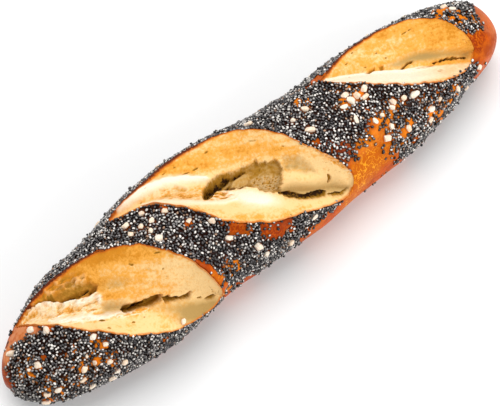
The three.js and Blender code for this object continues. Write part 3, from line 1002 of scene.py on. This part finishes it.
def seed_cover(points, x, girth):
    """How thickly seeds lie on the crust, from 0 to 1, at points in metres."""
    up = points[:, 2] / MM + 2.5 * (layered_noise(points / MM, 6, 2, 11) - 0.5)
    cover = smooth(SEED_LINE - 3.5, SEED_LINE + 1.5, up)
    for gash in GASHES.values():
        share, across, _ = on_gash(gash, x, girth)
        clear = SEED_CLEARANCE + BARE_RIM * (across > 0) * smooth(0.65, 0.3, share)
        cover = cover * (-rim_distance(gash, x, girth) > clear)
    ragged = layered_noise(points / MM, 2.4, 3, 12) - 0.5
    for centre, radius, bareness in patches_on_crust(BARE_PATCHES):
        far = mm_from(centre, points) / radius + 0.9 * ragged
        cover = cover * (1 - bareness * (1 - smooth(0.75, 1.1, far)))
    across, down = in_picture(points / MM - SHIFT)
    drift = 5 * (value_noise(points / MM, 7, 15) - 0.5)
    for line, half_width in BARE_STRIPS:
        far, _ = to_line(across, down, line)
        cover = cover * smooth(half_width - 1.5, half_width + 1.5, far + 9 * ragged + drift)
    gaps = smooth(0.56, 0.64, layered_noise(points / MM, SPARSE_SIZE, 2, 14))
    for centre, radius in patches_on_crust(SPARSE_PATCHES):
        far = mm_from(centre, points) / radius
        cover = cover * (1 - SPARSENESS * gaps * (1 - smooth(0.6, 1.1, far)))
    # the slim end is bare all round
    nose = points[:, 0] / MM + 4 * ragged + NOSE_ROUNDING * np.abs(points[:, 1] / MM - NOSE_MIDDLE)
    return cover * (1 - smooth(*NOSE_BARE, nose))


def crust_outward():
    """The crust's outward direction at each of its points."""
    normals = np.empty(3 * len(crust.data.vertices), np.float32)
    crust.data.vertex_normals.foreach_get("vector", normals)
    return normals.reshape(-1, 3)


crust_metres = (crust_points + SHIFT) * MM
crust_x_all = np.concatenate([crust_x.ravel(), TIP_X])
crust_girth_all = np.concatenate([crust_girth.ravel(), [0, 0]])
crust_cover = seed_cover(crust_metres, crust_x_all, crust_girth_all)
crust_normals = crust_outward()
# the seeds are baked in, so the crust between them lies lower, but not beside the rims
rim_distances = [rim_distance(gash, crust_x_all, crust_girth_all) for gash in GASHES.values()]
rim_space = -np.max(rim_distances, axis=0)
bed = BED_DEPTH * MM * crust_cover * smooth(0.3, 2.2, rim_space)
crust_metres = crust_metres - crust_normals * bed[:, None]
crust.data.vertices.foreach_set("co", crust_metres.ravel())
crust.data.update()
crust_tree = BVHTree.FromPolygons(crust_metres.tolist(), crust_faces)

# ---------------------------------------------------------------------- salt

# Salt grains that the photo shows: pixel, length and width in mm, and turn in
# degrees in the picture.
SALT = (
    # broad end
    (31, 330, 2.4, 2.1, 20), (47, 330, 2.5, 2.0, 80), (93, 337, 2.4, 2.1, 70), (12, 353, 3.9, 2.0, 12),
    (38, 365, 2.4, 2.2, 20), (29, 370, 1.4, 1.1, 0), (58, 389, 2.6, 2.1, 70), (47, 394, 2.5, 1.9, 10),
    (46, 401, 3.0, 1.8, 8), (84, 369, 2.7, 1.9, 75), (95, 362, 2.5, 1.4, 80), (109, 361, 2.2, 1.9, 60),
    (105, 344, 2.1, 1.5, 0), (87, 356, 1.4, 1.1, 80), (124, 361, 2.4, 2.0, 30),
    (117, 370, 2.2, 1.9, 45), (83, 379, 2.5, 1.8, 30), (92, 385, 2.7, 1.9, 15),
    (112, 377, 3.0, 2.0, 35),
    # between the near and the middle gash
    (159, 239, 2.7, 2.4, 20), (229, 238, 3.0, 1.7, -5), (131, 235, 1.9, 1.6, 0),
    (151, 231, 1.8, 1.6, 80), (165, 211, 2.1, 1.6, 10), (142, 214, 1.9, 1.7, 20),
    (152, 221, 2.4, 1.6, 75), (189, 221, 2.4, 1.5, 75), (212, 220, 2.4, 2.0, 10),
    (126, 227, 2.6, 1.8, 40), (141, 227, 1.9, 1.8, 0), (258, 246, 3.3, 2.3, -48),
    (266, 253, 2.1, 1.8, -60), (290, 241, 2.2, 2.1, 0), (314, 216, 2.6, 1.9, 80),
    # between the middle and the far gash
    (310, 130, 3.7, 1.9, 12), (305, 110, 2.9, 1.9, -20), (249, 125, 3.2, 1.8, 20),
    (293, 121, 1.8, 1.5, 0), (345, 96, 3.2, 1.9, 50), (351, 101, 3.5, 2.4, -42),
    (357, 96, 2.6, 2.1, -50), (365, 97, 2.9, 1.6, 48), (344, 107, 2.8, 1.7, 20),
    (364, 89, 2.5, 2.1, 80), (340, 84, 2.5, 1.7, -10), (393, 102, 2.8, 1.8, -35),
    (392, 108, 2.1, 1.9, 0), (414, 94, 3.9, 2.3, 20), (403, 98, 2.1, 1.9, 60), (382, 115, 1.7, 1.4, 0),
    (375, 121, 2.4, 1.5, -30), (356, 120, 3.0, 1.5, -70), (391, 126, 2.4, 1.8, -60),
    (408, 128, 2.7, 1.9, -45), (387, 138, 2.8, 2.1, 0), (431, 109, 2.6, 2.2, 10),
    (430, 119, 2.2, 2.1, 50), (440, 99, 1.7, 1.2, 60), (445, 115, 2.0, 1.5, 60),
    (457, 88, 2.5, 1.9, -40), (465, 87, 2.2, 1.8, -30), (440, 122, 2.0, 1.6, 30),
    # slim end
    (479, 67, 2.0, 1.7, 60), (444, 8, 2.4, 1.7, 20), (452, 9, 2.6, 1.6, 10), (431, 8, 2.2, 1.4, 10),
)
GRAIN_ON_CRUMB = (183, 322, 2.2, 1.6, 70)
FAR_SIDE_GRAINS = 26        # scattered where the photo doesn't look
FAR_SIDE_FLOOR = 9          # mm, how high they lie at least
FAR_SIDE_LENGTH = (1.8, 3.2)
FAR_SIDE_WIDTH = (1.5, 2.1)
SALT_HALO = 0.55            # mm of bare crust around a grain
SALT_HALO_SOFT = 0.35       # mm
GRAIN_POINTS = 34
GRAIN_SQUARENESS = 3.5      # 2 would be a round grain, more is blockier
GRAIN_UNEVENNESS = 0.82     # the least reach of its points
GRAIN_FLATNESS = (0.65, 0.9)
GRAIN_TILT = 12             # degrees
SALT_SINK = 0.22            # share of a grain's height that is baked in


def grain_block(size, draw):
    """One crystal: the hull of points on an uneven block around the origin, in mm."""
    shell = bmesh.new()
    for _ in range(GRAIN_POINTS):
        way = draw.normal(size=3)
        reach = (np.abs(way) ** GRAIN_SQUARENESS).sum() ** (1 / GRAIN_SQUARENESS)
        shell.verts.new(way * draw.uniform(GRAIN_UNEVENNESS, 1.0) / reach * np.array(size) / 2)
    bmesh.ops.convex_hull(shell, input=shell.verts)
    loose = [vert for vert in shell.verts if not vert.link_faces]
    bmesh.ops.delete(shell, geom=loose, context="VERTS")
    shell.verts.index_update()
    points = np.array([vert.co for vert in shell.verts])
    faces = [[vert.index for vert in face.verts] for face in shell.faces]
    shell.free()
    return points * np.array(size) / np.ptp(points, axis=0), faces


def tangent_frame(normal, picture_turn):
    """A frame on a surface whose first axis runs at picture_turn degrees in the picture."""
    turn = math.radians(picture_turn)
    along = RIGHT * math.cos(turn) + UP * math.sin(turn)
    sideways = normal.cross(along).normalized()
    return Matrix((sideways.cross(normal), sideways, normal)).transposed()


def salt_spots(draw):
    """Where the salt lies: point, normal, length and width in mm, and turn in degrees."""
    spots = []
    crumb_tree = BVHTree.FromObject(crumbs[0], bpy.context.evaluated_depsgraph_get())
    for tree, grains in ((crust_tree, SALT), (crumb_tree, [GRAIN_ON_CRUMB])):
        for u, v, *grain in grains:
            point, normal = on_surface(tree, (u, v))
            if point is not None:
                spots.append((point, normal, *grain))
    unseen = crust_normals @ np.array(BACK) < -0.05
    hidden = unseen & (crust_cover > 0.9) & (crust_metres[:, 2] > FAR_SIDE_FLOOR * MM)
    for index in draw.choice(np.flatnonzero(hidden), FAR_SIDE_GRAINS, replace=False):
        point, normal = Vector(crust_metres[index]), Vector(crust_normals[index])
        length, width = draw.uniform(*FAR_SIDE_LENGTH), draw.uniform(*FAR_SIDE_WIDTH)
        spots.append((point, normal, length, width, draw.uniform(0, 180)))
    return spots


def make_salt():
    draw = np.random.default_rng(23)
    spots = salt_spots(draw)
    points, faces, tones = [], [], []
    for point, normal, length, width, turn in spots:
        tall = width * draw.uniform(*GRAIN_FLATNESS)
        block, block_faces = grain_block((length, width, tall), draw)
        tilt = Matrix.Rotation(math.radians(draw.uniform(-GRAIN_TILT, GRAIN_TILT)), 3, "X")
        axes = np.array(tangent_frame(normal, turn) @ tilt)
        centre = np.array(point) + np.array(normal) * tall * (0.5 - SALT_SINK) * MM
        start = sum(len(part) for part in points)
        points.append(block @ axes.T * MM + centre)
        faces += [[start + corner for corner in face] for face in block_faces]
        tones.append(np.full(len(block), draw.random()))
    piece = bare_mesh("salt", np.concatenate(points).tolist(), faces, smooth_faces=False)
    set_attribute(piece, "tone", np.concatenate(tones))
    centres = np.array([np.array(spot[0]) for spot in spots])
    radii = np.array([(spot[2] + spot[3]) / 4 for spot in spots])
    return piece, centres, radii


salt, salt_centres, salt_radii = make_salt()

# --------------------------------------------------------------------- seeds

SEED_SPACING = 0.79         # mm between the middles of neighbouring seeds
SEED_TRIES = 190000
SEED_SIZE = (0.64, 0.48, 0.43)   # mm, half length, half width, half height
SEED_BEND = 0.22
SEED_RINGS = 3
SEED_SIDES = 6
SECOND_LAYER = 0.05         # share of the seeds that lie on others
SECOND_LIFT = 0.5           # mm
SECOND_SLIDE = 0.2          # mm
SEED_LEAN = 0.35
SEED_LIFT = (0.12, 0.34)    # mm from the bed to a seed's middle
SEED_SPREAD = 0.10          # how unlike the seeds are in size
SEED_KINDS = dict(black=0.41, slate=0.22, grey=0.30, brown=0.07)
LONE_SEEDS = (
    (207, 276), (211, 273), (159, 250), (328, 151), (340, 149), (349, 141), (383, 152), (402, 146),
    (485, 63),
)


def seed_template():
    """One kidney-shaped seed around the origin, in mm, and its faces."""
    points = [(-SEED_SIZE[0], SEED_BEND * SEED_SIZE[0], 0)]
    for ring in range(SEED_RINGS):
        around_length = math.pi * (ring + 1) / (SEED_RINGS + 1)
        x = -SEED_SIZE[0] * math.cos(around_length)
        fat = math.sin(around_length)
        for side in range(SEED_SIDES):
            angle = 2 * math.pi * side / SEED_SIDES
            y = SEED_SIZE[1] * fat * math.cos(angle) + SEED_BEND * x * x / SEED_SIZE[0]
            points.append((x, y, SEED_SIZE[2] * fat * math.sin(angle)))
    points.append((SEED_SIZE[0], SEED_BEND * SEED_SIZE[0], 0))
    faces = []
    last = len(points) - 1
    for side in range(SEED_SIDES):
        after = (side + 1) % SEED_SIDES
        faces.append((0, 1 + after, 1 + side))
        for ring in range(SEED_RINGS - 1):
            here, there = 1 + ring * SEED_SIDES, 1 + (ring + 1) * SEED_SIDES
            faces.append((here + side, here + after, there + side))
            faces.append((here + after, there + after, there + side))
        end = 1 + (SEED_RINGS - 1) * SEED_SIDES
        faces.append((end + side, end + after, last))
    return np.array(points), np.array(faces)


def thin_out(points, spacing):
    """Indices of points kept in order, so that no two are closer than the spacing."""
    tree = KDTree(len(points))
    for index, point in enumerate(points):
        tree.insert(point, index)
    tree.balance()
    free = np.ones(len(points), bool)
    kept = []
    for index, point in enumerate(points):
        if free[index]:
            kept.append(index)
            for _, near, _ in tree.find_range(point, spacing):
                free[near] = False
    return np.array(kept)


def unit(vectors):
    return vectors / np.linalg.norm(vectors, axis=1, keepdims=True)


def seed_spots(draw):
    """Where the seeds lie on the crust: points in metres and outward directions."""
    quads = np.array([face for face in crust_faces if len(face) == 4])
    corners = crust_metres[quads]
    diagonals = corners[:, 2] - corners[:, 0], corners[:, 3] - corners[:, 1]
    area = np.linalg.norm(np.cross(*diagonals), axis=1) / 2 * (crust_cover[quads].max(1) > 0)
    pick = draw.choice(len(quads), SEED_TRIES, p=area / area.sum())
    u, v = draw.random((2, SEED_TRIES, 1))
    weights = np.concatenate([(1 - u) * (1 - v), u * (1 - v), u * v, (1 - u) * v], 1)[..., None]
    points = (crust_metres[quads[pick]] * weights).sum(1)
    normals = (crust_normals[quads[pick]] * weights).sum(1)
    x = (crust_x_all[quads[pick]] * weights[..., 0]).sum(1)
    girth_corners = crust_girth_all[quads[pick]]
    seam = np.ptp(girth_corners, axis=1) > GIRTH_PER_RADIAN
    girth = np.where(seam, girth_corners[:, 0], (girth_corners * weights[..., 0]).sum(1))
    cover = seed_cover(points, x, girth)
    for centre, radius in zip(salt_centres, salt_radii):
        halo = radius + SALT_HALO
        cover = cover * smooth(halo - SALT_HALO_SOFT, halo, mm_from(centre, points))
    kept = np.flatnonzero(draw.random(SEED_TRIES) < cover ** 1.5)
    kept = kept[thin_out(points[kept].tolist(), SEED_SPACING * MM)]
    return points[kept], unit(normals[kept])


def stack_some(points, normals, draw):
    """A few more seeds lying on top of the others."""
    upper = draw.choice(len(points), int(SECOND_LAYER * len(points)), replace=False)
    slide = draw.normal(0, SECOND_SLIDE, (len(upper), 3)) * MM
    raised = points[upper] + slide + normals[upper] * SECOND_LIFT * MM
    return np.concatenate([points, raised]), np.concatenate([normals, normals[upper]])


def add_lone_seeds(points, normals):
    spots = [on_surface(crust_tree, pixel) for pixel in LONE_SEEDS]
    more_points, more_normals = zip(*[spot for spot in spots if spot[0] is not None])
    return np.concatenate([points, more_points]), np.concatenate([normals, more_normals])


def make_seeds():
    draw = np.random.default_rng(5)
    points, normals = seed_spots(draw)
    points, normals = add_lone_seeds(points, normals)
    points, normals = stack_some(points, normals, draw)
    count = len(points)
    leaning = unit(normals + SEED_LEAN * draw.normal(size=(count, 3)))
    along = unit(np.cross(leaning, draw.normal(size=(count, 3))))
    frames = np.stack([along, np.cross(leaning, along), leaning], 1)
    size = draw.normal(1, SEED_SPREAD, (count, 1, 1)).clip(0.75, 1.25)
    lift = draw.uniform(*SEED_LIFT, (count, 1))
    template, faces = seed_template()
    offsets = (template[None] * size) @ frames
    shapes = offsets * MM + (points + normals * lift * MM)[:, None]
    # how far up and outwards each point of a seed lies, 1 at its uppermost; it places the painted highlight
    # on each seed's top and the painted shade under it
    rise = (offsets @ (leaning + np.array([0, 0, 1]))[..., None])[..., 0]
    rise /= rise.max(1, keepdims=True)
    tone = draw.random(count)
    shares = np.array(list(SEED_KINDS.values()))
    kind = draw.choice(len(shares), count, p=shares / shares.sum())
    pieces = []
    for index, name in enumerate(SEED_KINDS):
        chosen = shapes[kind == index]
        starts = np.arange(len(chosen))[:, None, None] * len(template)
        piece_faces = (faces[None] + starts).reshape(-1, 3)
        piece = bare_mesh(f"seeds_{name}", chosen.reshape(-1, 3).tolist(), piece_faces.tolist())
        set_attribute(piece, "tone", np.repeat(tone[kind == index], len(template)))
        set_attribute(piece, "rise", rise[kind == index])
        pieces.append(piece)
    return pieces


seeds = make_seeds()

# ----------------------------------------------------------------- materials


NOISE_ROUGHNESS = 0.55


class Nodes:
    """A material's node tree, built by short calls."""

    def __init__(self, name):
        self.material = bpy.data.materials.new(name)
        self.material.use_nodes = True
        self.tree = self.material.node_tree
        self.shader = self.tree.nodes["Principled BSDF"]
        self.place = self.node("TexCoord", "Object", {})

    def put(self, socket, value):
        if isinstance(value, bpy.types.NodeSocket):
            self.tree.links.new(value, socket)
        elif isinstance(value, tuple) and socket.type == "RGBA":
            socket.default_value = (*value, 1)
        else:
            socket.default_value = value

    def node(self, kind, output, inputs, **settings):
        """The output of a new node, whose inputs are numbers, colours or other outputs."""
        node = self.tree.nodes.new(f"ShaderNode{kind}")
        for key, value in settings.items():
            setattr(node, key, value)
        for key, value in inputs.items():
            self.put(node.inputs[key], value)
        return node.outputs[output]

    def attribute(self, name):
        return self.node("Attribute", "Fac", {}, attribute_name=name)

    def noise(self, size, detail):
        """Noise from 0 to 1 with features of a size in mm."""
        inputs = dict(Vector=self.place, Scale=1 / (size * MM), Detail=detail, Roughness=NOISE_ROUGHNESS)
        return self.node("TexNoise", "Fac", inputs)

    def contour(self, size, detail):
        """How far a noise is from its middle value, which it takes along winding lines."""
        return self.math("ABSOLUTE", self.math("SUBTRACT", self.noise(size, detail), 0.5), 0.0)

    def cells(self, size):
        """Distance to the nearest cell edge, for cells of a size in mm."""
        inputs = dict(Vector=self.place, Scale=1 / (size * MM))
        return self.node("TexVoronoi", "Distance", inputs, feature="DISTANCE_TO_EDGE")

    def span(self, value, low, high, start=0.0, end=1.0):
        """The value moved from low..high to start..end, held at the ends."""
        inputs = {"Value": value, "From Min": low, "From Max": high, "To Min": start, "To Max": end}
        return self.node("MapRange", "Result", inputs, interpolation_type="SMOOTHSTEP")

    def math(self, operation, first, second):
        return self.node("Math", "Value", {0: first, 1: second}, operation=operation)

    def times(self, first, second):
        return self.math("MULTIPLY", first, second)

    def blend(self, share, first, second):
        """The first colour where share is 0, the second where it is 1."""
        inputs = dict(Factor=share, A=first, B=second)
        return self.node("Mix", "Result", inputs, data_type="RGBA")

    def bump(self, height, distance, strength, normal=None):
        """Relief by a height of 0 to 1 that stands for a distance in mm."""
        inputs = dict(Height=height, Distance=distance * MM, Strength=strength)
        if normal:
            inputs["Normal"] = normal
        return self.node("Bump", "Normal", inputs)

    def finish(self, colour, roughness, normal=None, **fixed):
        """Joins everything to the shader; fixed holds constant sockets by name."""
        self.put(self.shader.inputs["Base Color"], colour)
        self.put(self.shader.inputs["Roughness"], roughness)
        if normal:
            self.put(self.shader.inputs["Normal"], normal)
        for key, value in fixed.items():
            self.shader.inputs[key.replace("_", " ")].default_value = value
        return self.material


CRUST_ORANGE = (0.57, 0.090, 0.003)
CRUST_LIGHT = (0.53, 0.110, 0.003)
CRUST_DEEP = (0.30, 0.036, 0.003)
CRUST_SHADE_BETWEEN_SEEDS = (0.010, 0.004, 0.003)
CRUST_GAP_LIGHT = (0.85, 0.230, 0.008)
CRUST_SHEEN = (0.75, 0.300, 0.130)
CRUST_CREASE = (0.92, 0.40, 0.020)


def crust_material():
    nodes = Nodes("crust")
    patches = nodes.noise(9, 3)
    fine = nodes.noise(1.6, 4)
    specks = nodes.noise(0.8, 2)
    creases = nodes.math("MINIMUM", nodes.contour(4.5, 2.5), nodes.contour(2.2, 1.5))
    cover = nodes.attribute("cover")
    deep = nodes.attribute("deep")
    light = nodes.attribute("light")
    mottled = nodes.times(deep, nodes.span(specks, 0.43, 0.58, 1.1, 0.2))
    colour = nodes.blend(nodes.span(patches, 0.35, 0.65), CRUST_ORANGE, CRUST_LIGHT)
    colour = nodes.blend(nodes.times(nodes.span(fine, 0.45, 0.7), 0.4), colour, CRUST_DEEP)
    blotches = nodes.span(nodes.noise(7, 4), 0.44, 0.64, 0.0, 0.7)
    colour = nodes.blend(blotches, colour, CRUST_DEEP)
    # painted light in the small gaps between the seeds and beside the salt
    colour = nodes.blend(nodes.attribute("glow"), colour, CRUST_GAP_LIGHT)
    colour = nodes.blend(mottled, colour, CRUST_DEEP)
    colour = nodes.blend(light, colour, CRUST_LIGHT)
    creased = nodes.times(nodes.span(creases, 0.022, 0.0), nodes.span(patches, 0.35, 0.6, 0.2, 0.8))
    colour = nodes.blend(nodes.times(creased, light), colour, CRUST_CREASE)
    # a painted sheen at both ends of the loaf
    pale = nodes.times(nodes.attribute("pale"), nodes.span(fine, 0.35, 0.6, 0.45, 1.05))
    colour = nodes.blend(pale, colour, CRUST_SHEEN)
    # painted shade on the crust between the seeds, as thickly as the seeds lie
    colour = nodes.blend(nodes.times(cover, 0.97), colour, CRUST_SHADE_BETWEEN_SEEDS)
    normal = nodes.bump(fine, 0.16, 0.6)
    normal = nodes.bump(nodes.span(creases, 0.06, 0.0), 0.08, 0.35, normal)
    roughness = nodes.span(fine, 0.3, 0.7, 0.26, 0.42)
    return nodes.finish(
        colour, roughness, normal, Specular_IOR_Level=0.02, Coat_Weight=0.05, Coat_Roughness=0.12)


CRUMB_CREAM = (0.88, 0.59, 0.26)
CRUMB_GOLD = (0.82, 0.37, 0.055)
CRUMB_TOASTED = (0.62, 0.23, 0.012)
CRUMB_WHITE = (0.93, 0.83, 0.66)
CRUMB_SHADE = (0.42, 0.26, 0.080)
CRUMB_RECESS_SHADE = (0.36, 0.17, 0.012)
CRUMB_DEEP_RECESS_SHADE = (0.035, 0.012, 0.003)
CRUMB_RIM = (0.60, 0.15, 0.008)
CRUMB_EDGE = (0.12, 0.020, 0.004)


def crumb_material():
    nodes = Nodes("crumb")
    grain = nodes.noise(0.9, 4)
    flecks = nodes.noise(0.45, 3)
    clouds = nodes.noise(3.5, 3)
    toast = nodes.math("ADD", nodes.attribute("toast"), nodes.span(grain, 0.3, 0.7, -0.30, 0.30))
    toast = nodes.math("ADD", toast, nodes.span(clouds, 0.3, 0.7, -0.22, 0.22))
    colour = nodes.blend(nodes.span(toast, 0.0, 1.0), CRUMB_CREAM, CRUMB_GOLD)
    colour = nodes.blend(nodes.span(toast, 0.9, 1.7), colour, CRUMB_TOASTED)
    torn = nodes.times(nodes.attribute("torn"), nodes.span(flecks, 0.3, 0.6, 0.75, 1.0))
    colour = nodes.blend(torn, colour, CRUMB_WHITE)
    colour = nodes.blend(nodes.attribute("shade"), colour, CRUMB_SHADE)
    colour = nodes.blend(nodes.times(nodes.span(flecks, 0.60, 0.74), 0.25), colour, CRUMB_SHADE)
    # painted shade in cracks and hollows: olive, then nearly black where deepest
    recess_shade = nodes.times(nodes.attribute("recess_shade"), nodes.span(grain, 0.35, 0.65, 0.8, 1.1))
    colour = nodes.blend(nodes.span(recess_shade, 0.05, 0.6), colour, CRUMB_RECESS_SHADE)
    colour = nodes.blend(nodes.span(recess_shade, 0.6, 1.0), colour, CRUMB_DEEP_RECESS_SHADE)
    edge = nodes.times(nodes.attribute("rim"), nodes.span(grain, 0.30, 0.55, 0.75, 1.0))
    colour = nodes.blend(nodes.span(edge, 0.05, 0.6), colour, CRUMB_RIM)
    colour = nodes.blend(nodes.span(edge, 0.5, 0.85), colour, CRUMB_EDGE)
    normal = nodes.bump(grain, 0.25, 0.6)
    normal = nodes.bump(flecks, 0.12, 0.5, normal)
    return nodes.finish(colour, 0.72, normal, Specular_IOR_Level=0.15)


# Body colour of each kind of seed, and the paler colour of the highlight painted on its top.
SEED_COLOURS = dict(
    black=((0.004, 0.003, 0.003), (0.08, 0.07, 0.07)),
    slate=((0.010, 0.009, 0.009), (0.36, 0.33, 0.32)),
    grey=((0.035, 0.030, 0.027), (0.97, 0.91, 0.84)),
    brown=((0.020, 0.008, 0.005), (0.45, 0.27, 0.17)),
)
SEED_SHADOW = (0.003, 0.002, 0.002)


def seed_material(kind):
    nodes = Nodes(f"seed_{kind}")
    body, highlight_colour = SEED_COLOURS[kind]
    net = nodes.cells(0.17)
    rise = nodes.attribute("rise")
    tone = nodes.span(nodes.attribute("tone"), 0.0, 1.0, 0.4, 1.0)
    # a painted highlight on the upper part of each seed, larger on some seeds than on others
    painted_highlight = nodes.times(nodes.span(rise, 0.52, 0.85), tone)
    colour = nodes.blend(painted_highlight, body, highlight_colour)
    colour = nodes.blend(nodes.times(nodes.span(net, 0.0, 0.25, 1.0, 0.0), 0.12), colour, highlight_colour)
    # painted shade on the lower half of each seed
    colour = nodes.blend(nodes.span(rise, 0.0, 0.5), SEED_SHADOW, colour)
    normal = nodes.bump(net, 0.03, 0.5)
    return nodes.finish(colour, 0.25, normal, Specular_IOR_Level=0.4)


SALT_WARM = (0.88, 0.75, 0.60)
SALT_STAINED = (0.86, 0.62, 0.42)
SALT_WHITE = (0.93, 0.88, 0.82)


def salt_material():
    nodes = Nodes("salt")
    cloud = nodes.noise(0.8, 3)
    colour = nodes.blend(nodes.attribute("tone"), SALT_WARM, SALT_STAINED)
    colour = nodes.blend(nodes.span(cloud, 0.35, 0.75, 0.0, 0.4), colour, SALT_WHITE)
    normal = nodes.bump(cloud, 0.15, 0.5)
    return nodes.finish(colour, 0.32, normal, Subsurface_Weight=0.25, Subsurface_Scale=0.0008,
                        Subsurface_Radius=(1.0, 0.8, 0.6))


# Places where the bare crust is lighter or deeper, or carries a painted sheen: pixel, radius in mm.
LIGHT_PATCHES = (
    (355, 195, 8), (365, 175, 9), (376, 160, 8), (388, 142, 6), (350, 205, 6), (330, 224, 5),
    (318, 236, 5), (216, 280, 4), (226, 290, 4), (300, 80, 4),
)
DEEP_PATCHES = (
    (338, 149, 4.5), (325, 146, 3), (240, 224, 5), (274, 228, 6), (286, 224, 4), (474, 38, 4),
    (470, 32, 3), (5, 377, 4), (11, 389, 4), (344, 153, 3), (481, 37, 3), (478, 47, 3), (484, 28, 2.5),
)
BROAD_END_SHEEN_PATCHES = ((23, 331, 5), (36, 328, 4), (13, 343, 4.5), (8, 354, 4))
SHEEN_PATCHES = ((488, 24, 5), (482, 15, 5))


def patch_values(patches):
    """1 on the crust in the patches, fading at their ragged edges."""
    values = np.zeros(len(crust_metres))
    ragged = layered_noise(crust_metres / MM, 4, 3, 21) - 0.5
    for centre, radius in patches_on_crust(patches):
        far = mm_from(centre, crust_metres) / radius + 0.7 * ragged
        values = np.maximum(values, 1 - smooth(0.55, 1.1, far))
    return values


def salt_rims():
    """1 on the crust close beside the salt grains."""
    rims = np.zeros(len(crust_metres))
    for centre, radius in zip(salt_centres, salt_radii):
        rims = np.maximum(rims, 1 - smooth(0.2, 1.1, mm_from(centre, crust_metres) - radius))
    return rims


sparse = patch_values(SPARSE_PATCHES)
bare_rims = salt_rims() * mix(0.2, 0.7, sparse)
# the seed cover also sets the painted shade between the seeds, with less of it beside the salt
set_attribute(crust, "cover", crust_cover * (1 - bare_rims))
# painted light in the sparse places and beside the salt
set_attribute(crust, "glow", np.maximum(0.8 * sparse, bare_rims))
# painted sheen: stronger at the broad end, fainter at the slim end
pale = np.maximum(0.75 * patch_values(BROAD_END_SHEEN_PATCHES), 0.25 * patch_values(SHEEN_PATCHES))
set_attribute(crust, "pale", pale)
set_attribute(crust, "light", patch_values(LIGHT_PATCHES))
set_attribute(crust, "deep", patch_values(DEEP_PATCHES))
crust.data.materials.append(crust_material())
crumb_finish = crumb_material()
for piece in crumbs:
    piece.data.materials.append(crumb_finish)
for piece, kind in zip(seeds, SEED_KINDS):
    piece.data.materials.append(seed_material(kind))
salt.data.materials.append(salt_material())

# ------------------------------------------------------------ floor and light


KEY_LIGHT = dict(place=(0.15, 0.4, 1.0), size=1.3, power=11.2)
FILL_LIGHT = dict(place=(0.4, -0.95, 0.55), size=0.9, power=8.5)
SKY_STRENGTH = 0.45
FLOOR_REACH = 3             # m
FLOOR_COLOUR = (0.92, 0.92, 0.92)
FLOOR_ROUGHNESS = 0.7


def area_light(name, place, size, power):
    data = bpy.data.lights.new(name, "AREA")
    data.shape = "DISK"
    data.size = size
    data.energy = power
    light = bpy.data.objects.new(name, data)
    light.location = place
    light.rotation_mode = "QUATERNION"
    light.rotation_quaternion = (-Vector(place)).to_track_quat("-Z", "Y")
    bpy.context.scene.collection.objects.link(light)


def make_world():
    world = bpy.data.worlds.new("studio")
    world.use_nodes = True
    background = world.node_tree.nodes["Background"]
    background.inputs["Color"].default_value = (1, 1, 1, 1)
    background.inputs["Strength"].default_value = SKY_STRENGTH
    bpy.context.scene.world = world


def make_floor():
    signs = ((-1, -1), (1, -1), (1, 1), (-1, 1))
    corners = [(side * FLOOR_REACH, end * FLOOR_REACH, 0) for side, end in signs]
    floor = bare_mesh("floor", corners, [(0, 1, 2, 3)], smooth_faces=False)
    floor.data.materials.append(Nodes("floor").finish(FLOOR_COLOUR, FLOOR_ROUGHNESS))


area_light("key", **KEY_LIGHT)
area_light("fill", **FILL_LIGHT)
make_world()
make_floor()
bpy.context.scene.view_settings.view_transform = "Standard"

# --------------------------------------------------------------- on the frame

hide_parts(NODE)
for piece in [crust, *crumbs, *seeds, salt]:
    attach(piece, BODY)
